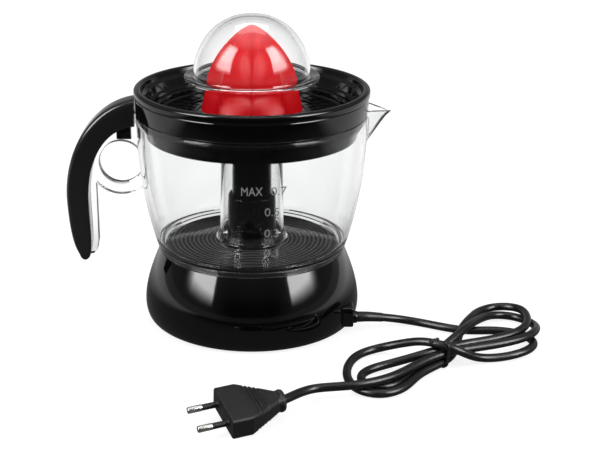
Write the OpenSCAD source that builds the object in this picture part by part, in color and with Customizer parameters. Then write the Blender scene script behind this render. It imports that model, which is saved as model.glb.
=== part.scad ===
// Electric citrus press with a clear jug, a lift-out bowl and sieve, a fluted cone and a dust cover.
// Millimetres. Z is up, the spout points to +X, the handle to -X, and z = 0 is the worktop.

/* [Base] */
// Height of the base's upper edge above the worktop
base_h = 50.7; // [46:0.1:60]
// Largest radius of the base
base_r = 76; // [74:0.5:80]
// Radius of the base's lower edge
base_foot_r = 70.5; // [68:0.5:73]
// Height at which the base is widest
belly_z = 12; // [9:0.5:16]
// Height of the control point that rounds the base's shoulder
shoulder_z = 25; // [20:0.5:30]
// Wall of the base housing
base_wall = 2.4; // [1.8:0.1:3]
// Radius of the ribbed deck that stands inside the jug's foot
deck_r = 60.8; // [58:0.1:62]
// Height of the ribbed deck above the base's upper edge
deck_rise = 3.8; // [3:0.1:6]
// Number of concentric grooves in the deck
deck_grooves = 11; // [6:1:14]
// Depth of a deck groove
groove_depth = 0.9; // [0.4:0.1:1.4]

/* [Tower] */
// Outer radius of the tower that carries the drive shaft
tower_r = 17.1; // [16:0.1:18]
// Height of the tower's shoulder
tower_z = 89; // [84:0.5:92]
// Wall of the tower
tower_wall = 2.4; // [1.8:0.1:3.5]
// Outer radius of the nose above the shoulder
nose_r = 9.4; // [9:0.1:10]
// Height of the nose above the shoulder
nose_h = 5; // [3:0.5:6]

/* [Jug] */
// Outer radius of the jug at its rim
jug_rim_r = 79; // [77:0.1:81]
// Height of the jug from foot to rim
jug_h = 100.5; // [96:0.5:110]
// Control point of the jug's outline, height above the foot
jug_bulge_z = 42; // [36:1:50]
// Wall of the jug
jug_wall = 2.2; // [1.8:0.1:2.6]
// Depth of the step that the bowl's skirt covers
rim_step = 4; // [3:0.5:5]
// Inner radius of the chimney
chimney_r = 19; // [18.6:0.1:20]
// Height of the chimney above the jug's floor
chimney_h = 68; // [60:1:71]
// Reach of the spout's tip beyond the jug's rim
spout_reach = 16.4; // [12:0.1:20]
// Width of the spout where it leaves the wall
spout_w = 31; // [26:1:36]
// Depth of the spout below the rim
spout_drop = 25; // [20:1:30]

/* [Handle] */
// Reach of the grip beyond the jug's rim
handle_reach = 49.3; // [47:0.1:53]
// Width of the black handle cover
handle_w = 21; // [18:0.5:24]
// Thickness of the clear web inside the handle
web_t = 8; // [6:0.5:10]
// Inner radius of the finger ring
ring_in = 15; // [14:0.5:16]
// Outer radius of the finger ring
ring_out = 23; // [21:0.5:24]
// Distance of the finger ring's centre from the jug's rim
ring_reach = 11; // [9:0.5:13]
// Height of the finger ring's centre
ring_z = 112; // [110:0.5:114]
// Height of the grip's lower end
tip_z = 41; // [38:0.5:46]

/* [Bowl] */
// Reach of the bead round the bowl's rim beyond the jug
bead_out = 1; // [0.5:0.1:2]
// Height of the bead
bead_h = 5.4; // [4:0.1:7]
// Height of the band between the bead and the jug
band_h = 12; // [10:0.5:15]
// Wall of the bowl
bowl_wall = 2.2; // [1.8:0.1:3]
// Taper of the bowl from the jug's rim to its bottom
bowl_taper = 7.3; // [6:0.1:9]
// Depth of the bowl below the band
bowl_drop = 15.8; // [14:0.1:18]
// Number of outlets in the bowl's floor
outlets = 6; // [4:1:8]

/* [Sieve] */
// Distance of the sieve's rim from the bowl's outside
sieve_inset = 4.4; // [4:0.1:5]
// Width of the rounded rim
rim_w = 3.4; // [3:0.1:4]
// Height of the rounded rim above the sieve's floor
rim_h = 5; // [4:0.1:6]
// Thickness of the slotted floor
sieve_t = 2; // [1.6:0.1:2.4]
// Number of slots
slots = 40; // [24:1:48]
// Width of a slot
slot_w = 2; // [1.2:0.1:2.4]

/* [Cone and cover] */
// Radius of the cone at its base
cone_r = 35; // [33:0.1:36]
// Height of the cone
cone_h = 56.8; // [52:0.1:60]
// Number of ribs on the cone
ribs = 9; // [7:1:12]
// Depth of the flutes between the ribs
flute = 2.6; // [1.5:0.1:3.5]
// Radius of the cover's dome
cover_r = 40; // [39:0.1:42]
// Radius of the cover's flange
flange_r = 45.8; // [44:0.1:48]
// Height of the dome above its flange
cover_h = 43; // [41.5:0.1:47]
// Wall of the cover
cover_wall = 1.8; // [1.4:0.1:2.2]

/* [Drive] */
// Outer radius of the turning sleeve
sleeve_r = 14; // [13.5:0.1:14.4]
// Inner radius of the turning sleeve
sleeve_bore = 12; // [11.6:0.1:12.2]
// Radius of the drive shaft
shaft_r = 4; // [3.5:0.1:4.2]
// Travel of the cone when it is pressed
press = 2; // [1:0.1:2.2]
// Gear module
gear_m = 1; // [1:0.05:1.05]
// Teeth of the output gear
out_teeth = 40; // [40:4:40]
// Teeth of the idler's small gear
small_teeth = 16; // [16:4:16]
// Teeth of the idler's large gear
large_teeth = 32; // [32:4:32]
// Teeth of the motor's pinion
pinion_teeth = 16; // [16:4:16]
// Face width of the gears
gear_w = 5; // [4:0.5:5]

/* [Motor and switch] */
// Radius of the motor's can
motor_r = 24; // [22:0.5:25]
// Height of the motor
motor_h = 19; // [17:0.5:19]
// Radius of the rotor's magnet
magnet_r = 11.6; // [10:0.1:12]
// Thickness of the gear plate
plate_t = 2; // [1.5:0.1:2.5]
// Length of the switch's body
switch_l = 20; // [18:0.5:22]
// Width of the switch's body
switch_w = 6.4; // [6:0.1:7]
// Height of the switch's body
switch_h = 11; // [10:0.5:12]

/* [Cord and plug] */
// Radius of the cord
cord_r = 2.8; // [2.5:0.1:3.2]
// Width of the plug's face
plug_w = 35.3; // [35:0.1:35.5]
// Thickness of the plug
plug_t = 13.7; // [13:0.1:14]
// Length of the plug's body
plug_l = 37; // [35:0.5:40]
// Length of the plug's pins
pin_l = 19; // [19:0.1:19.5]
// Radius of the plug's pins
pin_r = 2; // [1.9:0.05:2.05]
// Half of the distance between the pins
pin_off = 9.3; // [9:0.1:9.5]

/* [Hidden] */
$fn = 96;

// Clearances
seat = 0.3;        // between pieces that rest on each other and lift off
run = 0.05;        // radial running clearance of a turning or sliding fit
slack = 0.5;       // round a piece that drops into its place
eps = 0.01;

deck_gap = 1.5;     // between the ribbed deck and the jug's foot
foot_lip = 2.6;     // wall of the jug's foot

// Radii that follow from those of the deck and the jug's rim
jug_foot_r = deck_r + deck_gap + foot_lip;
base_top_r = jug_foot_r - seat;          // the base's upper edge, under the jug's foot
bead_r = jug_rim_r + bead_out;
bowl_bottom_r = jug_rim_r - bowl_taper;
sieve_r = bowl_bottom_r - sieve_inset;
spout_x = jug_rim_r + spout_reach;
handle_x = jug_rim_r + handle_reach;
ring_x = jug_rim_r + ring_reach;

// Levels of the base
feet_h = 1.8;
plate_z = feet_h + 2.4;                  // top of the base plate
deck_z = base_h + deck_rise;
deck_under = deck_z - groove_depth - 2;
boss_r = 4;
screw_r = 1.5;
screw_ring = deck_r - 5.3;               // under the deck, which the bosses reach
screw_step = 120;
feet_ring = 57;
feet_r = 6;

// Levels of the jug
jug_z = base_h + seat;
floor_z = deck_z + 0.6;                  // underside of the jug's floor
floor_top = floor_z + 2;
chimney_foot_r = chimney_r + 6;
rim_z = jug_z + jug_h;
seam_z = rim_z - rim_step;
step_r = jug_rim_r - jug_wall + 0.1;     // outer radius of the stepped rim

// Levels of the bowl, the sieve and the cone
band_z = seam_z + seat;
bead_z = band_z + band_h;
bowl_top = bead_z + bead_h;
bowl_z = seam_z - bowl_drop;
ledge_z = bowl_z + 13;
sieve_z = ledge_z + seat;
sieve_top = sieve_z + sieve_t;
hub_z = sieve_z - 9.6;
cone_z = sieve_top + press + 0.8;
apex_z = cone_z + cone_h;
cover_z = apex_z + 7 - cover_h;

// Levels of the drive
gear_plate_z = plate_z + 1.6 + motor_h + 0.4;
large_z = gear_plate_z + plate_t + 1.4;
out_z = large_z + gear_w + 1.6;
hub_r = 7;
shaft_flange_z = gear_plate_z - 5;
hex_r = 5.2;
collar_z = tower_z + nose_h + 2.4;         // underside of the shaft's coupling
hex_top = collar_z + 12;
head_z = collar_z + 2;
sleeve_z = tower_z + seat + 0.2;
sleeve_flange_z = sieve_top + 0.2;
post_z = cone_z + 5;

// Plan of the gear train
idler_x = -gear_m * (out_teeth + small_teeth) / 2;
motor_y = -gear_m * (large_teeth + pinion_teeth) / 2;
idler_phase = 180 / small_teeth;

// Places of the gland, the cord and the plug
gland_y = -36;
gland_z = 10.6;
gland_x = 70.5;
gland_w = 12;
gland_h = 15;
relief_r = 4.2;
relief_end_r = cord_r + 0.4;
relief_from = 0.92;     // where the strain relief begins and how far it reaches, in steps of the lead's points
relief_span = 2;
lead_points = [[64, -36, 10.6], [74, -36, 10.5], [84, -33.5, 9.4], [95.5, -29.5, 6.6], [106, -27, 4],
    [117, -28, 3], [126, -31.5, 3]];
tail_points = [[62, -119, 3], [55, -122.5, 3], [48, -127, 3.6], [40, -133.5, 5], [31.5, -143, 7.6],
    [24.5, -151, 9.6], [14, -157.6, 10.2]];
hank_a = [97, -103];
hank_b = [160, -45];
hank_r = 38;
hank_h = 13;
neck_r = 7.6;
neck_z = 9.4;
plug_place = [17.4, -156.2, 10.2];
plug_yaw = 201;
plug_pitch = 2;
plug_roll = -9;

// A point on a cubic curve through its end points, steered by its two control points
function cubic(p, t) = pow(1 - t, 3) * p[0] + 3 * t * pow(1 - t, 2) * p[1]
    + 3 * t * t * (1 - t) * p[2] + pow(t, 3) * p[3];
// A point on a quadratic curve
function quad(p, t) = pow(1 - t, 2) * p[0] + 2 * t * (1 - t) * p[1] + t * t * p[2];
// n + 1 points along a cubic curve
function arc_points(p, n) = [for (i = [0:n]) cubic(p, i / n)];
function unit(v) = v / norm(v);

// A closed solid through rings of points, all with the same number of points
module loft(rings, closed = false) {
    n = len(rings[0]);
    m = len(rings);
    points = [for (ring = rings) for (p = ring) p];
    sides = [for (i = [0:m - (closed ? 1 : 2)]) for (j = [0:n - 1]) let (k = (i + 1) % m)
        [i * n + j, k * n + j, k * n + (j + 1) % n, i * n + (j + 1) % n]];
    first = [for (j = [0:n - 1]) j];
    last = [for (j = [0:n - 1]) m * n - 1 - j];
    polyhedron(points, closed ? sides : concat(sides, [first], [last]), convexity = 6);
}

// A ring of radius r round p, square to the direction d
function cord_ring(p, d, r, n) = let (s = unit(cross([0, 0, 1], d)), u = cross(d, s))
    [for (j = [0:n - 1]) p + r * (cos(360 * j / n) * s + sin(360 * j / n) * u)];

// Catmull-Rom point between k[i] and k[i + 1]
function smooth(k, i, t) = let (a = k[max(i - 1, 0)], b = k[i], c = k[i + 1], d = k[min(i + 2, len(k) - 1)])
    0.5 * (2 * b + (c - a) * t + (2 * a - 5 * b + 4 * c - d) * t * t + (3 * b - a - 3 * c + d) * t * t * t);

// A cord swept along its route
module cord(route, r) {
    steps = 2;
    path = concat([for (i = [0:len(route) - 2]) for (k = [0:steps - 1]) smooth(route, i, k / steps)],
        [route[len(route) - 1]]);
    last = len(path) - 1;
    loft([for (i = [0:last])
        cord_ring(path[i], unit(path[min(i + 1, last)] - path[max(i - 1, 0)]), r, 10)]);
}

// Involute spur gear: the flank is drawn from the base circle to the tip
function involute(rb, a) = rb * [cos(a) + a * PI / 180 * sin(a), sin(a) - a * PI / 180 * cos(a)];
function spin2(p, a) = [p[0] * cos(a) - p[1] * sin(a), p[0] * sin(a) + p[1] * cos(a)];
module gear(teeth, width) {
    rp = gear_m * teeth / 2;
    rb = rp * cos(20);
    ra = rp + 0.9 * gear_m;
    rr = rp - 1.2 * gear_m;
    tip = acos(rb / ra);
    roll = tan(tip) * 180 / PI;
    inv_p = tan(20) * 180 / PI - 20;
    half = 90 / teeth - 0.12 / rp * 180 / PI + inv_p;
    flank = [for (i = [0:4]) spin2(involute(rb, roll * i / 4), -half)];
    mirrored = [for (i = [4:-1:0]) [flank[i][0], -flank[i][1]]];
    root = [spin2([rr, 0], -half - 0.4)];
    root_end = [spin2([rr, 0], half + 0.4)];
    tooth = concat(root, flank, mirrored, root_end);
    linear_extrude(width) polygon([for (k = [0:teeth - 1]) for (p = tooth) spin2(p, k * 360 / teeth)]);
}

// Outline of the base from its lower edge to its upper edge, moved in by a wall
function base_curve(wall) = concat(
    [for (i = [0:6]) [base_foot_r - wall + (base_r - base_foot_r) * sin(15 * i),
        belly_z - (belly_z - feet_h) * cos(15 * i)]],
    [for (i = [1:12]) quad([[base_r - wall, belly_z], [base_r - wall, shoulder_z],
        [base_top_r - wall, base_h]], i / 12)]);

// Profile of the ribbed deck, from its edge to the foot of the tower
function deck_profile() = let (pitch = (deck_r - 2.4 - (tower_r + 8)) / deck_grooves)
    [for (i = [0:deck_grooves - 1]) for (q = [[0, 0], [0.3, -1], [0.7, -1], [1, 0]])
        [deck_r - 2.4 - pitch * (i + 0.55 * q[0]), deck_z + groove_depth * q[1]]];

module base_housing() {
    post_r = 4;
    color([0.03, 0.03, 0.035]) difference() {
        union() {
            rotate_extrude() polygon(concat(
                base_curve(0),
                [[deck_r + 0.6, base_h], [deck_r, base_h + 0.6], [deck_r, deck_z - 0.8], [deck_r - 0.8, deck_z]],
                deck_profile(),
                [[tower_r + 7.5, deck_z], [tower_r + 3, deck_z + 0.6], [tower_r, deck_z + 3.6],
                    [tower_r - 0.4, tower_z - 0.8], [tower_r - 1.2, tower_z],
                    [nose_r, tower_z], [nose_r, tower_z + nose_h - 0.6], [nose_r - 0.6, tower_z + nose_h],
                    [shaft_r + 3, tower_z + nose_h], [shaft_r + 3, tower_z - tower_wall],
                    [tower_r - tower_wall - 0.4, tower_z - tower_wall], [tower_r - tower_wall, deck_under],
                    [base_top_r - 4 - base_wall, deck_under], [base_top_r - base_wall, deck_under - 5]],
                [for (i = [10:-1:0]) base_curve(base_wall)[i + 6]],
                [for (i = [5:-1:0]) base_curve(base_wall)[i]]));
            // Bosses for the screws of the base plate
            for (i = [0:2]) rotate(60 + screw_step * i) translate([screw_ring, 0, plate_z + 0.1])
                cylinder(r = boss_r, h = deck_under + 0.5 - plate_z);
            // Posts that carry the gear plate
            for (p = plate_posts()) translate([p[0], p[1], gear_plate_z + plate_t])
                cylinder(r = post_r, h = deck_under - gear_plate_z - plate_t + 0.5);
            // Collar for the output gear's hub, held by the deck
            translate([0, 0, out_z + gear_w + 0.6]) difference() {
                cylinder(r = hub_r + 3, h = deck_under - out_z - gear_w);
                translate([0, 0, -1]) cylinder(r = hub_r + run, h = 40);
            }
            translate([0, 0, deck_under - 0.2]) difference() {
                cylinder(r = tower_r - tower_wall + 0.4, h = 2);
                translate([0, 0, -1]) cylinder(r = hub_r + run, h = 40);
            }
        }
        for (i = [0:2]) rotate(60 + screw_step * i) translate([screw_ring, 0, 0])
            cylinder(r = screw_r, h = 18);
        for (p = plate_posts()) translate([p[0], p[1], 0])
            cylinder(r = screw_r, h = gear_plate_z + plate_t + 10);
        // Opening for the cord gland
        translate([gland_x - 30, gland_y - gland_w / 2 - 0.15, plate_z + 0.2])
            cube([60, gland_w + 0.3, gland_h + 0.3]);
    }
}

// Places of the three posts that carry the gear plate
function plate_posts() = [for (p = [[0.45, 0.34], [0.48, -0.37], [-0.43, 0.51]]) p * base_foot_r];

module base_plate() {
    color([0.06, 0.06, 0.065]) difference() {
        union() {
            translate([0, 0, feet_h]) cylinder(r = base_foot_r - base_wall - slack, h = plate_z - feet_h);
            // Cup that locates the return spring
            translate([0, 0, plate_z - eps]) cylinder(r = 3, h = 4);
            // Cradle of the switch
            for (s = [-1, 1]) translate([switch_x() + 2, s * (switch_w / 2 + 1.1) - 1, plate_z - eps])
                cube([switch_l - 4, 2, 5]);
            // Stiffening rings
            for (r = [screw_ring - 13.5, screw_ring - 6.5]) translate([0, 0, plate_z - eps]) difference() {
                cylinder(r = r, h = 1.2);
                translate([0, 0, -1]) cylinder(r = r - 1.6, h = 4);
            }
        }
        for (i = [0:2]) rotate(60 + screw_step * i) translate([screw_ring, 0, 0]) {
            cylinder(r = screw_r + 0.2, h = 12);
            translate([0, 0, feet_h - 1]) cylinder(r = 3.4, h = 2.2);
        }
        for (i = [0:3]) rotate(45 + 90 * i) translate([feet_ring, 0, feet_h - 1]) cylinder(r = feet_r, h = 2);
        // Vents under the motor
        for (k = [-2:2]) translate([idler_x - 12, motor_y + 6 * k - 1.2, 0]) cube([24, 2.4, 12]);
        // Foot of the gland's opening
        translate([gland_x - 14, gland_y - gland_w / 2 - 0.6, plate_z - 0.4]) cube([30, gland_w + 1.2, 5]);
    }
}

module rubber_feet() {
    color([0.12, 0.12, 0.12]) for (i = [0:3]) rotate(45 + 90 * i) translate([feet_ring, 0, 0])
        rotate_extrude() polygon([[0, 0], [feet_r - 0.8, 0], [feet_r - 0.1, 0.8], [feet_r - 0.1, feet_h + 0.95],
            [0, feet_h + 0.95]]);
}

// A pan-head screw, its head at the bottom
module screw(r, head_r, head_h, len) {
    difference() {
        union() {
            cylinder(r = head_r, h = head_h);
            cylinder(r = r, h = len);
        }
        for (a = [0, 90]) rotate(a) translate([-head_r * 0.6, -0.35, -1]) cube([head_r * 1.2, 0.7, 1.8]);
    }
}

module base_screws() {
    color("silver") for (i = [0:2]) rotate(60 + screw_step * i) translate([screw_ring, 0, feet_h - 0.6])
        screw(screw_r - 0.1, 3, 1.7, 13);
}

module gear_plate() {
    color([0.55, 0.56, 0.58]) translate([0, 0, gear_plate_z]) difference() {
        linear_extrude(plate_t) union() {
            circle(r = 20);
            translate([idler_x, 0]) circle(r = 14);
            translate([idler_x, motor_y]) circle(r = 21);
            for (s = [-1, 1]) translate([idler_x + s * (motor_r + 3), motor_y]) circle(r = 4.6);
            translate([idler_x - motor_r - 3, motor_y - 4.6]) square([2 * motor_r + 6, 9.2]);
            translate([idler_x - 12, motor_y]) square([24, -motor_y]);
            for (p = plate_posts()) hull() {
                translate(p) circle(r = 5.4, $fn = 32);
                circle(r = 9, $fn = 32);
            }
        }
        translate([0, 0, -1]) cylinder(r = hex_r + 0.6, h = 9);
        translate([idler_x, motor_y, -1]) cylinder(r = 3.2, h = 9);
        translate([idler_x, 0, -1]) cylinder(r = 2, h = 9);
        for (s = [-1, 1]) translate([idler_x + s * (motor_r + 3), motor_y, -1]) cylinder(r = 1.35, h = 9);
        for (p = plate_posts()) translate([p[0], p[1], -1]) cylinder(r = screw_r + 0.2, h = 9);
    }
}

module plate_screws() {
    color("silver") {
        for (p = plate_posts()) translate([p[0], p[1], gear_plate_z - 1.8]) screw(screw_r - 0.1, 3, 1.7, 11);
        for (s = [-1, 1]) translate([idler_x + s * (motor_r + 3), motor_y, gear_plate_z + plate_t + 1.9])
            mirror([0, 0, 1]) screw(1.25, 2.4, 1.8, 6.6);
    }
}

// The fingers that carry the field to the rotor, round the magnet
module pole_fingers(count, h) {
    for (i = [0:count - 1]) rotate(360 * i / count) translate([magnet_r + 0.6, -1.6, 0]) cube([1.4, 3.2, h]);
}

module motor_can() {
    color([0.62, 0.63, 0.65]) translate([idler_x, motor_y, gear_plate_z - 0.4 - motor_h]) {
        rotate_extrude() polygon([[1.5 + run, 0], [motor_r - 1, 0], [motor_r, 1], [motor_r, motor_h - 1.5],
            [motor_r - 1.2, motor_h - 1.5], [motor_r - 1.2, 1.2], [1.5 + run, 1.2]]);
        translate([0, 0, 1.1]) pole_fingers(8, motor_h - 5);
    }
}

module motor_lid() {
    color([0.6, 0.61, 0.63]) translate([idler_x, motor_y, gear_plate_z - 0.4 - 1.3]) difference() {
        union() {
            cylinder(r = motor_r, h = 1.3);
            for (s = [-1, 1]) translate([s * (motor_r + 3), 0, 0]) cylinder(r = 3.8, h = 1.3);
            for (s = [-1, 1]) translate([s * (motor_r + 1.5) - 1.5, -3.8, 0]) cube([3, 7.6, 1.3]);
            translate([0, 0, 6 - motor_h]) rotate(22.5) pole_fingers(8, motor_h - 5.5);
        }
        translate([0, 0, -1]) cylinder(r = 2.4 + run, h = 4);
        for (s = [-1, 1]) translate([s * (motor_r + 3), 0, -1]) cylinder(r = 1.25, h = 4);
    }
}

module coil_bobbin() {
    inner = magnet_r + 2.4;
    outer = motor_r - 1.8;
    h = motor_h - 4.4;
    color([0.72, 0.36, 0.14]) translate([idler_x, motor_y, gear_plate_z - 0.4 - motor_h + 1.6])
        rotate_extrude() polygon([[inner, 0], [outer, 0], [outer, 1.2], [outer - 0.9, 1.2],
            [outer - 0.9, h - 1.2], [outer, h - 1.2], [outer, h], [inner, h]]);
}

module rotor_magnet() {
    color([0.2, 0.2, 0.22]) translate([idler_x, motor_y, gear_plate_z - 0.4 - motor_h + 2.4]) difference() {
        cylinder(r = magnet_r, h = motor_h - 5.6);
        translate([0, 0, -1]) cylinder(r = 1.5, h = motor_h);
    }
}

module rotor_pinion() {
    color([0.86, 0.84, 0.78]) translate([idler_x, motor_y, 0]) {
        translate([0, 0, gear_plate_z - 0.4 - motor_h + 0.4]) cylinder(r = 1.5, h = motor_h + plate_t + gear_w + 2);
        translate([0, 0, gear_plate_z - 1]) cylinder(r = 2.4, h = plate_t + 2);
        translate([0, 0, large_z - 0.5]) rotate(90) gear(pinion_teeth, gear_w + 1);
    }
}

module idler_gear() {
    color([0.93, 0.91, 0.85]) translate([idler_x, 0, 0]) difference() {
        union() {
            translate([0, 0, large_z]) rotate(-90 + 180 / large_teeth) gear(large_teeth, gear_w);
            translate([0, 0, large_z + gear_w - eps]) rotate(idler_phase) gear(small_teeth, gear_w + 3.2);
            translate([0, 0, gear_plate_z + plate_t + 0.3]) cylinder(r = 4, h = 2);
        }
        cylinder(r = 2 + run, h = 80);
    }
}

module gear_pin() {
    color("silver") translate([idler_x, 0, gear_plate_z]) cylinder(r = 2, h = plate_t + 2 * gear_w + 7);
}

module output_gear() {
    color([0.93, 0.91, 0.85]) difference() {
        union() {
            translate([0, 0, out_z]) gear(out_teeth, gear_w);
            translate([0, 0, gear_plate_z + plate_t + 0.3])
                cylinder(r = hub_r + 2, h = out_z - gear_plate_z - plate_t);
            translate([0, 0, out_z]) cylinder(r = hub_r, h = deck_under + 1 - out_z);
        }
        rotate(30) cylinder(r = hex_r + 0.12, h = 90, $fn = 6);
    }
}

module drive_shaft() {
    color([0.75, 0.76, 0.78]) {
        translate([0, 0, shaft_flange_z - 6]) cylinder(r = shaft_r - 1, h = 6.1);
        translate([0, 0, shaft_flange_z]) cylinder(r = 10, h = 1.6);
        translate([0, 0, shaft_flange_z]) cylinder(r = shaft_r, h = collar_z - shaft_flange_z + eps);
        translate([0, 0, gear_plate_z + 1]) rotate(30) cylinder(r = hex_r, h = out_z + gear_w + 6 - gear_plate_z, $fn = 6);
        translate([0, 0, collar_z]) rotate(30) cylinder(r = hex_r, h = hex_top - collar_z - 0.8, $fn = 6);
        translate([0, 0, hex_top - 0.81]) cylinder(r = hex_r * 0.8, h = 0.8);
    }
}

module tower_bush() {
    color([0.72, 0.58, 0.3]) translate([0, 0, tower_z - 1]) difference() {
        cylinder(r = shaft_r + 3, h = nose_h + 0.6);
        translate([0, 0, -1]) cylinder(r = shaft_r + run, h = nose_h + 3);
    }
}

module return_spring() {
    turns = 5;
    steps = 12;
    wire = 0.5;
    r = 4.4;
    low = plate_z + wire + 0.1;
    high = shaft_flange_z - wire - 0.1;
    path = [for (i = [0:turns * steps]) [r * cos(360 * i / steps), r * sin(360 * i / steps),
        low + (high - low) * i / (turns * steps)]];
    last = len(path) - 1;
    color("silver") loft([for (i = [0:last])
        cord_ring(path[i], unit(path[min(i + 1, last)] - path[max(i - 1, 0)]), wire, 6)]);
}

function switch_x() = 6.2;

module switch_body() {
    color([0.1, 0.1, 0.11]) translate([switch_x(), -switch_w / 2, plate_z]) difference() {
        cube([switch_l, switch_w, switch_h]);
        translate([2, switch_w / 2, switch_h - 6]) cylinder(r = 1.3, h = 9);
        for (x = [7, 15]) translate([x, -1, 3]) rotate([-90, 0, 0]) cylinder(r = 1.1, h = switch_w + 2);
    }
}

module switch_plunger() {
    color([0.75, 0.1, 0.1]) translate([switch_x() + 2, 0, plate_z + switch_h - 2])
        cylinder(r = 1.2, h = shaft_flange_z - plate_z - switch_h + 2 - seat);
}

module cord_gland() {
    color([0.05, 0.05, 0.055]) difference() {
        union() {
            translate([gland_x - 13, gland_y - gland_w / 2, plate_z + 0.35]) cube([13, gland_w, gland_h]);
            translate([gland_x - eps, gland_y, gland_z]) rotate([0, 90, 0])
                rotate_extrude() polygon([[0, 0], [4.6, 0], [4.6, 1.8], [4.2, 2.4], [0, 2.4]]);
        }
        translate([gland_x - 20, gland_y, gland_z]) rotate([0, 90, 0]) cylinder(r = cord_r, h = 30);
    }
}

// Strain relief: a tapered sleeve round the first stretch of the cord
module cord_relief() {
    steps = 8;
    route = [for (i = [-1:steps + 1]) let (u = relief_from + relief_span * i / steps)
        smooth(lead_points, floor(u), u - floor(u))];
    outer = [for (i = [0:steps]) cord_ring(route[i + 1], unit(route[i + 2] - route[i]),
        relief_r - (relief_r - relief_end_r) * i / steps, 24)];
    inner = [for (i = [0:steps]) cord_ring(route[i + 1], unit(route[i + 2] - route[i]), cord_r, 24)];
    color([0.05, 0.05, 0.055]) loft(concat(outer, [for (i = [0:steps]) inner[steps - i]]), closed = true);
}

module cord_lead() {
    color([0.08, 0.08, 0.08]) cord(lead_points, cord_r);
}

module cord_tail() {
    color([0.08, 0.08, 0.08]) cord(tail_points, cord_r);
}

// Outer shape of the hank: two flat lobes and the bundle between them
module cord_hank() {
    run_dir = unit(hank_b - hank_a);
    side = [-run_dir[1], run_dir[0]];
    half = norm(hank_b - hank_a) / 2;
    mid = (hank_a + hank_b) / 2;
    color([0.09, 0.09, 0.09]) {
        difference() {
            union() {
                for (c = [hank_a, hank_b]) translate([c[0], c[1], 0.05]) cylinder(r = hank_r, h = hank_h);
                translate([0, 0, 0.05]) linear_extrude(hank_h) for (s = [-1, 1])
                    polygon([mid + s * 7 * run_dir + neck_r * side, mid + s * 7 * run_dir - neck_r * side,
                        mid + s * (half + 8) * run_dir - (hank_r - 1) * side,
                        mid + s * (half + 8) * run_dir + (hank_r - 1) * side]);
            }
            translate([mid[0], mid[1], -1]) rotate(atan2(run_dir[1], run_dir[0]))
                translate([-4, -60, 0]) cube([8, 120, 60]);
        }
        translate([mid[0], mid[1], neck_z]) rotate([0, 90, atan2(run_dir[1], run_dir[0])])
            translate([0, 0, -12]) cylinder(r = neck_r, h = 24);
    }
}

module cord_tie() {
    run_dir = unit(hank_b - hank_a);
    mid = (hank_a + hank_b) / 2;
    color([0.05, 0.05, 0.05]) translate([mid[0], mid[1], neck_z])
        rotate([0, 90, atan2(run_dir[1], run_dir[0])]) rotate_extrude()
        polygon([[neck_r, -1.6], [neck_r + 1.2, -1.6], [neck_r + 1.5, -1], [neck_r + 1.5, 1],
            [neck_r + 1.2, 1.6], [neck_r, 1.6]]);
}

// Everything on the plug is drawn with its collar at the origin and its pins along +X
module on_plug() {
    translate(plug_place) rotate([0, 0, plug_yaw]) rotate([0, plug_pitch, 0]) rotate([plug_roll, 0, 0]) children();
}

// A rounded rectangle across the plug at x
function plug_section(x, w, t, r) = [for (q = [0:3]) for (a = [0:22.5:90])
    let (cy = [1, -1, -1, 1][q] * (w / 2 - r), cz = [1, 1, -1, -1][q] * (t / 2 - r))
    [x, cy + r * cos(90 * q + a), cz + r * sin(90 * q + a)]];

module plug_body() {
    color([0.1, 0.1, 0.1]) on_plug() difference() {
        union() {
            loft([plug_section(0, 11.6, 11, 4.5), plug_section(plug_l * 0.16, 13, 11.4, 4.6),
                plug_section(plug_l * 0.44, 25.5, 12.8, 4.8), plug_section(plug_l * 0.58, 31.5, 13.4, 4.8),
                plug_section(plug_l * 0.72, plug_w - 0.6, plug_t, 4.8), plug_section(plug_l - 0.8, plug_w, plug_t, 4.8),
                plug_section(plug_l, plug_w - 1.6, plug_t - 1.6, 4)]);
            rotate([0, 90, 0]) rotate_extrude() polygon([[0, -1.6], [5.6, -1.6], [6.9, -0.6], [7.1, 0.6],
                [6.6, 1.8], [0, 1.8]]);
        }
        for (s = [-1, 1]) translate([plug_l - 10, s * pin_off, 0]) rotate([0, 90, 0]) cylinder(r = 1.3, h = 20);
        translate([-10, 0, 0]) rotate([0, 90, 0]) cylinder(r = cord_r, h = 16);
    }
}

module pin_sleeves() {
    color([0.07, 0.07, 0.07]) on_plug() for (s = [-1, 1]) translate([plug_l, s * pin_off, 0]) rotate([0, 90, 0])
        difference() {
            cylinder(r = pin_r - 0.1, h = 10);
            translate([0, 0, -1]) cylinder(r = 1.3, h = 12);
        }
}

module plug_pins() {
    color("silver") on_plug() for (s = [-1, 1]) translate([plug_l, s * pin_off, 0]) rotate([0, 90, 0]) {
        translate([0, 0, -10]) cylinder(r = 1.3, h = 20.1);
        translate([0, 0, 10]) rotate_extrude() polygon([[0, 0], [pin_r, 0], [pin_r, pin_l - 11.2],
            [pin_r - 0.9, pin_l - 10], [0, pin_l - 10]]);
    }
}

// Outline of the jug's wall from foot to seam, moved in by a wall
function jug_curve(wall, n) = [for (i = [0:n]) quad([[jug_foot_r - wall, jug_z],
    [jug_rim_r - wall, jug_z + jug_bulge_z], [jug_rim_r - wall, seam_z]], i / n)];

// The beak of the spout: a solid beak, or its hollow when it is moved in by a wall and carried up
module beak(inset, up) {
    foot = jug_rim_r - 6;
    hull() {
        for (s = [-1, 1]) translate([foot, s * (spout_w / 2 - inset), rim_z - 4]) cylinder(r = 0.6, h = 4 + up);
        translate([spout_x - 1 - 1.8 * inset, 0, rim_z - 6.6 + inset]) cylinder(r = 1, h = 3.2 - inset + up);
        translate([foot, 0, rim_z - spout_drop + 1.8 * inset]) cylinder(r = 1, h = 1);
    }
}

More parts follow.
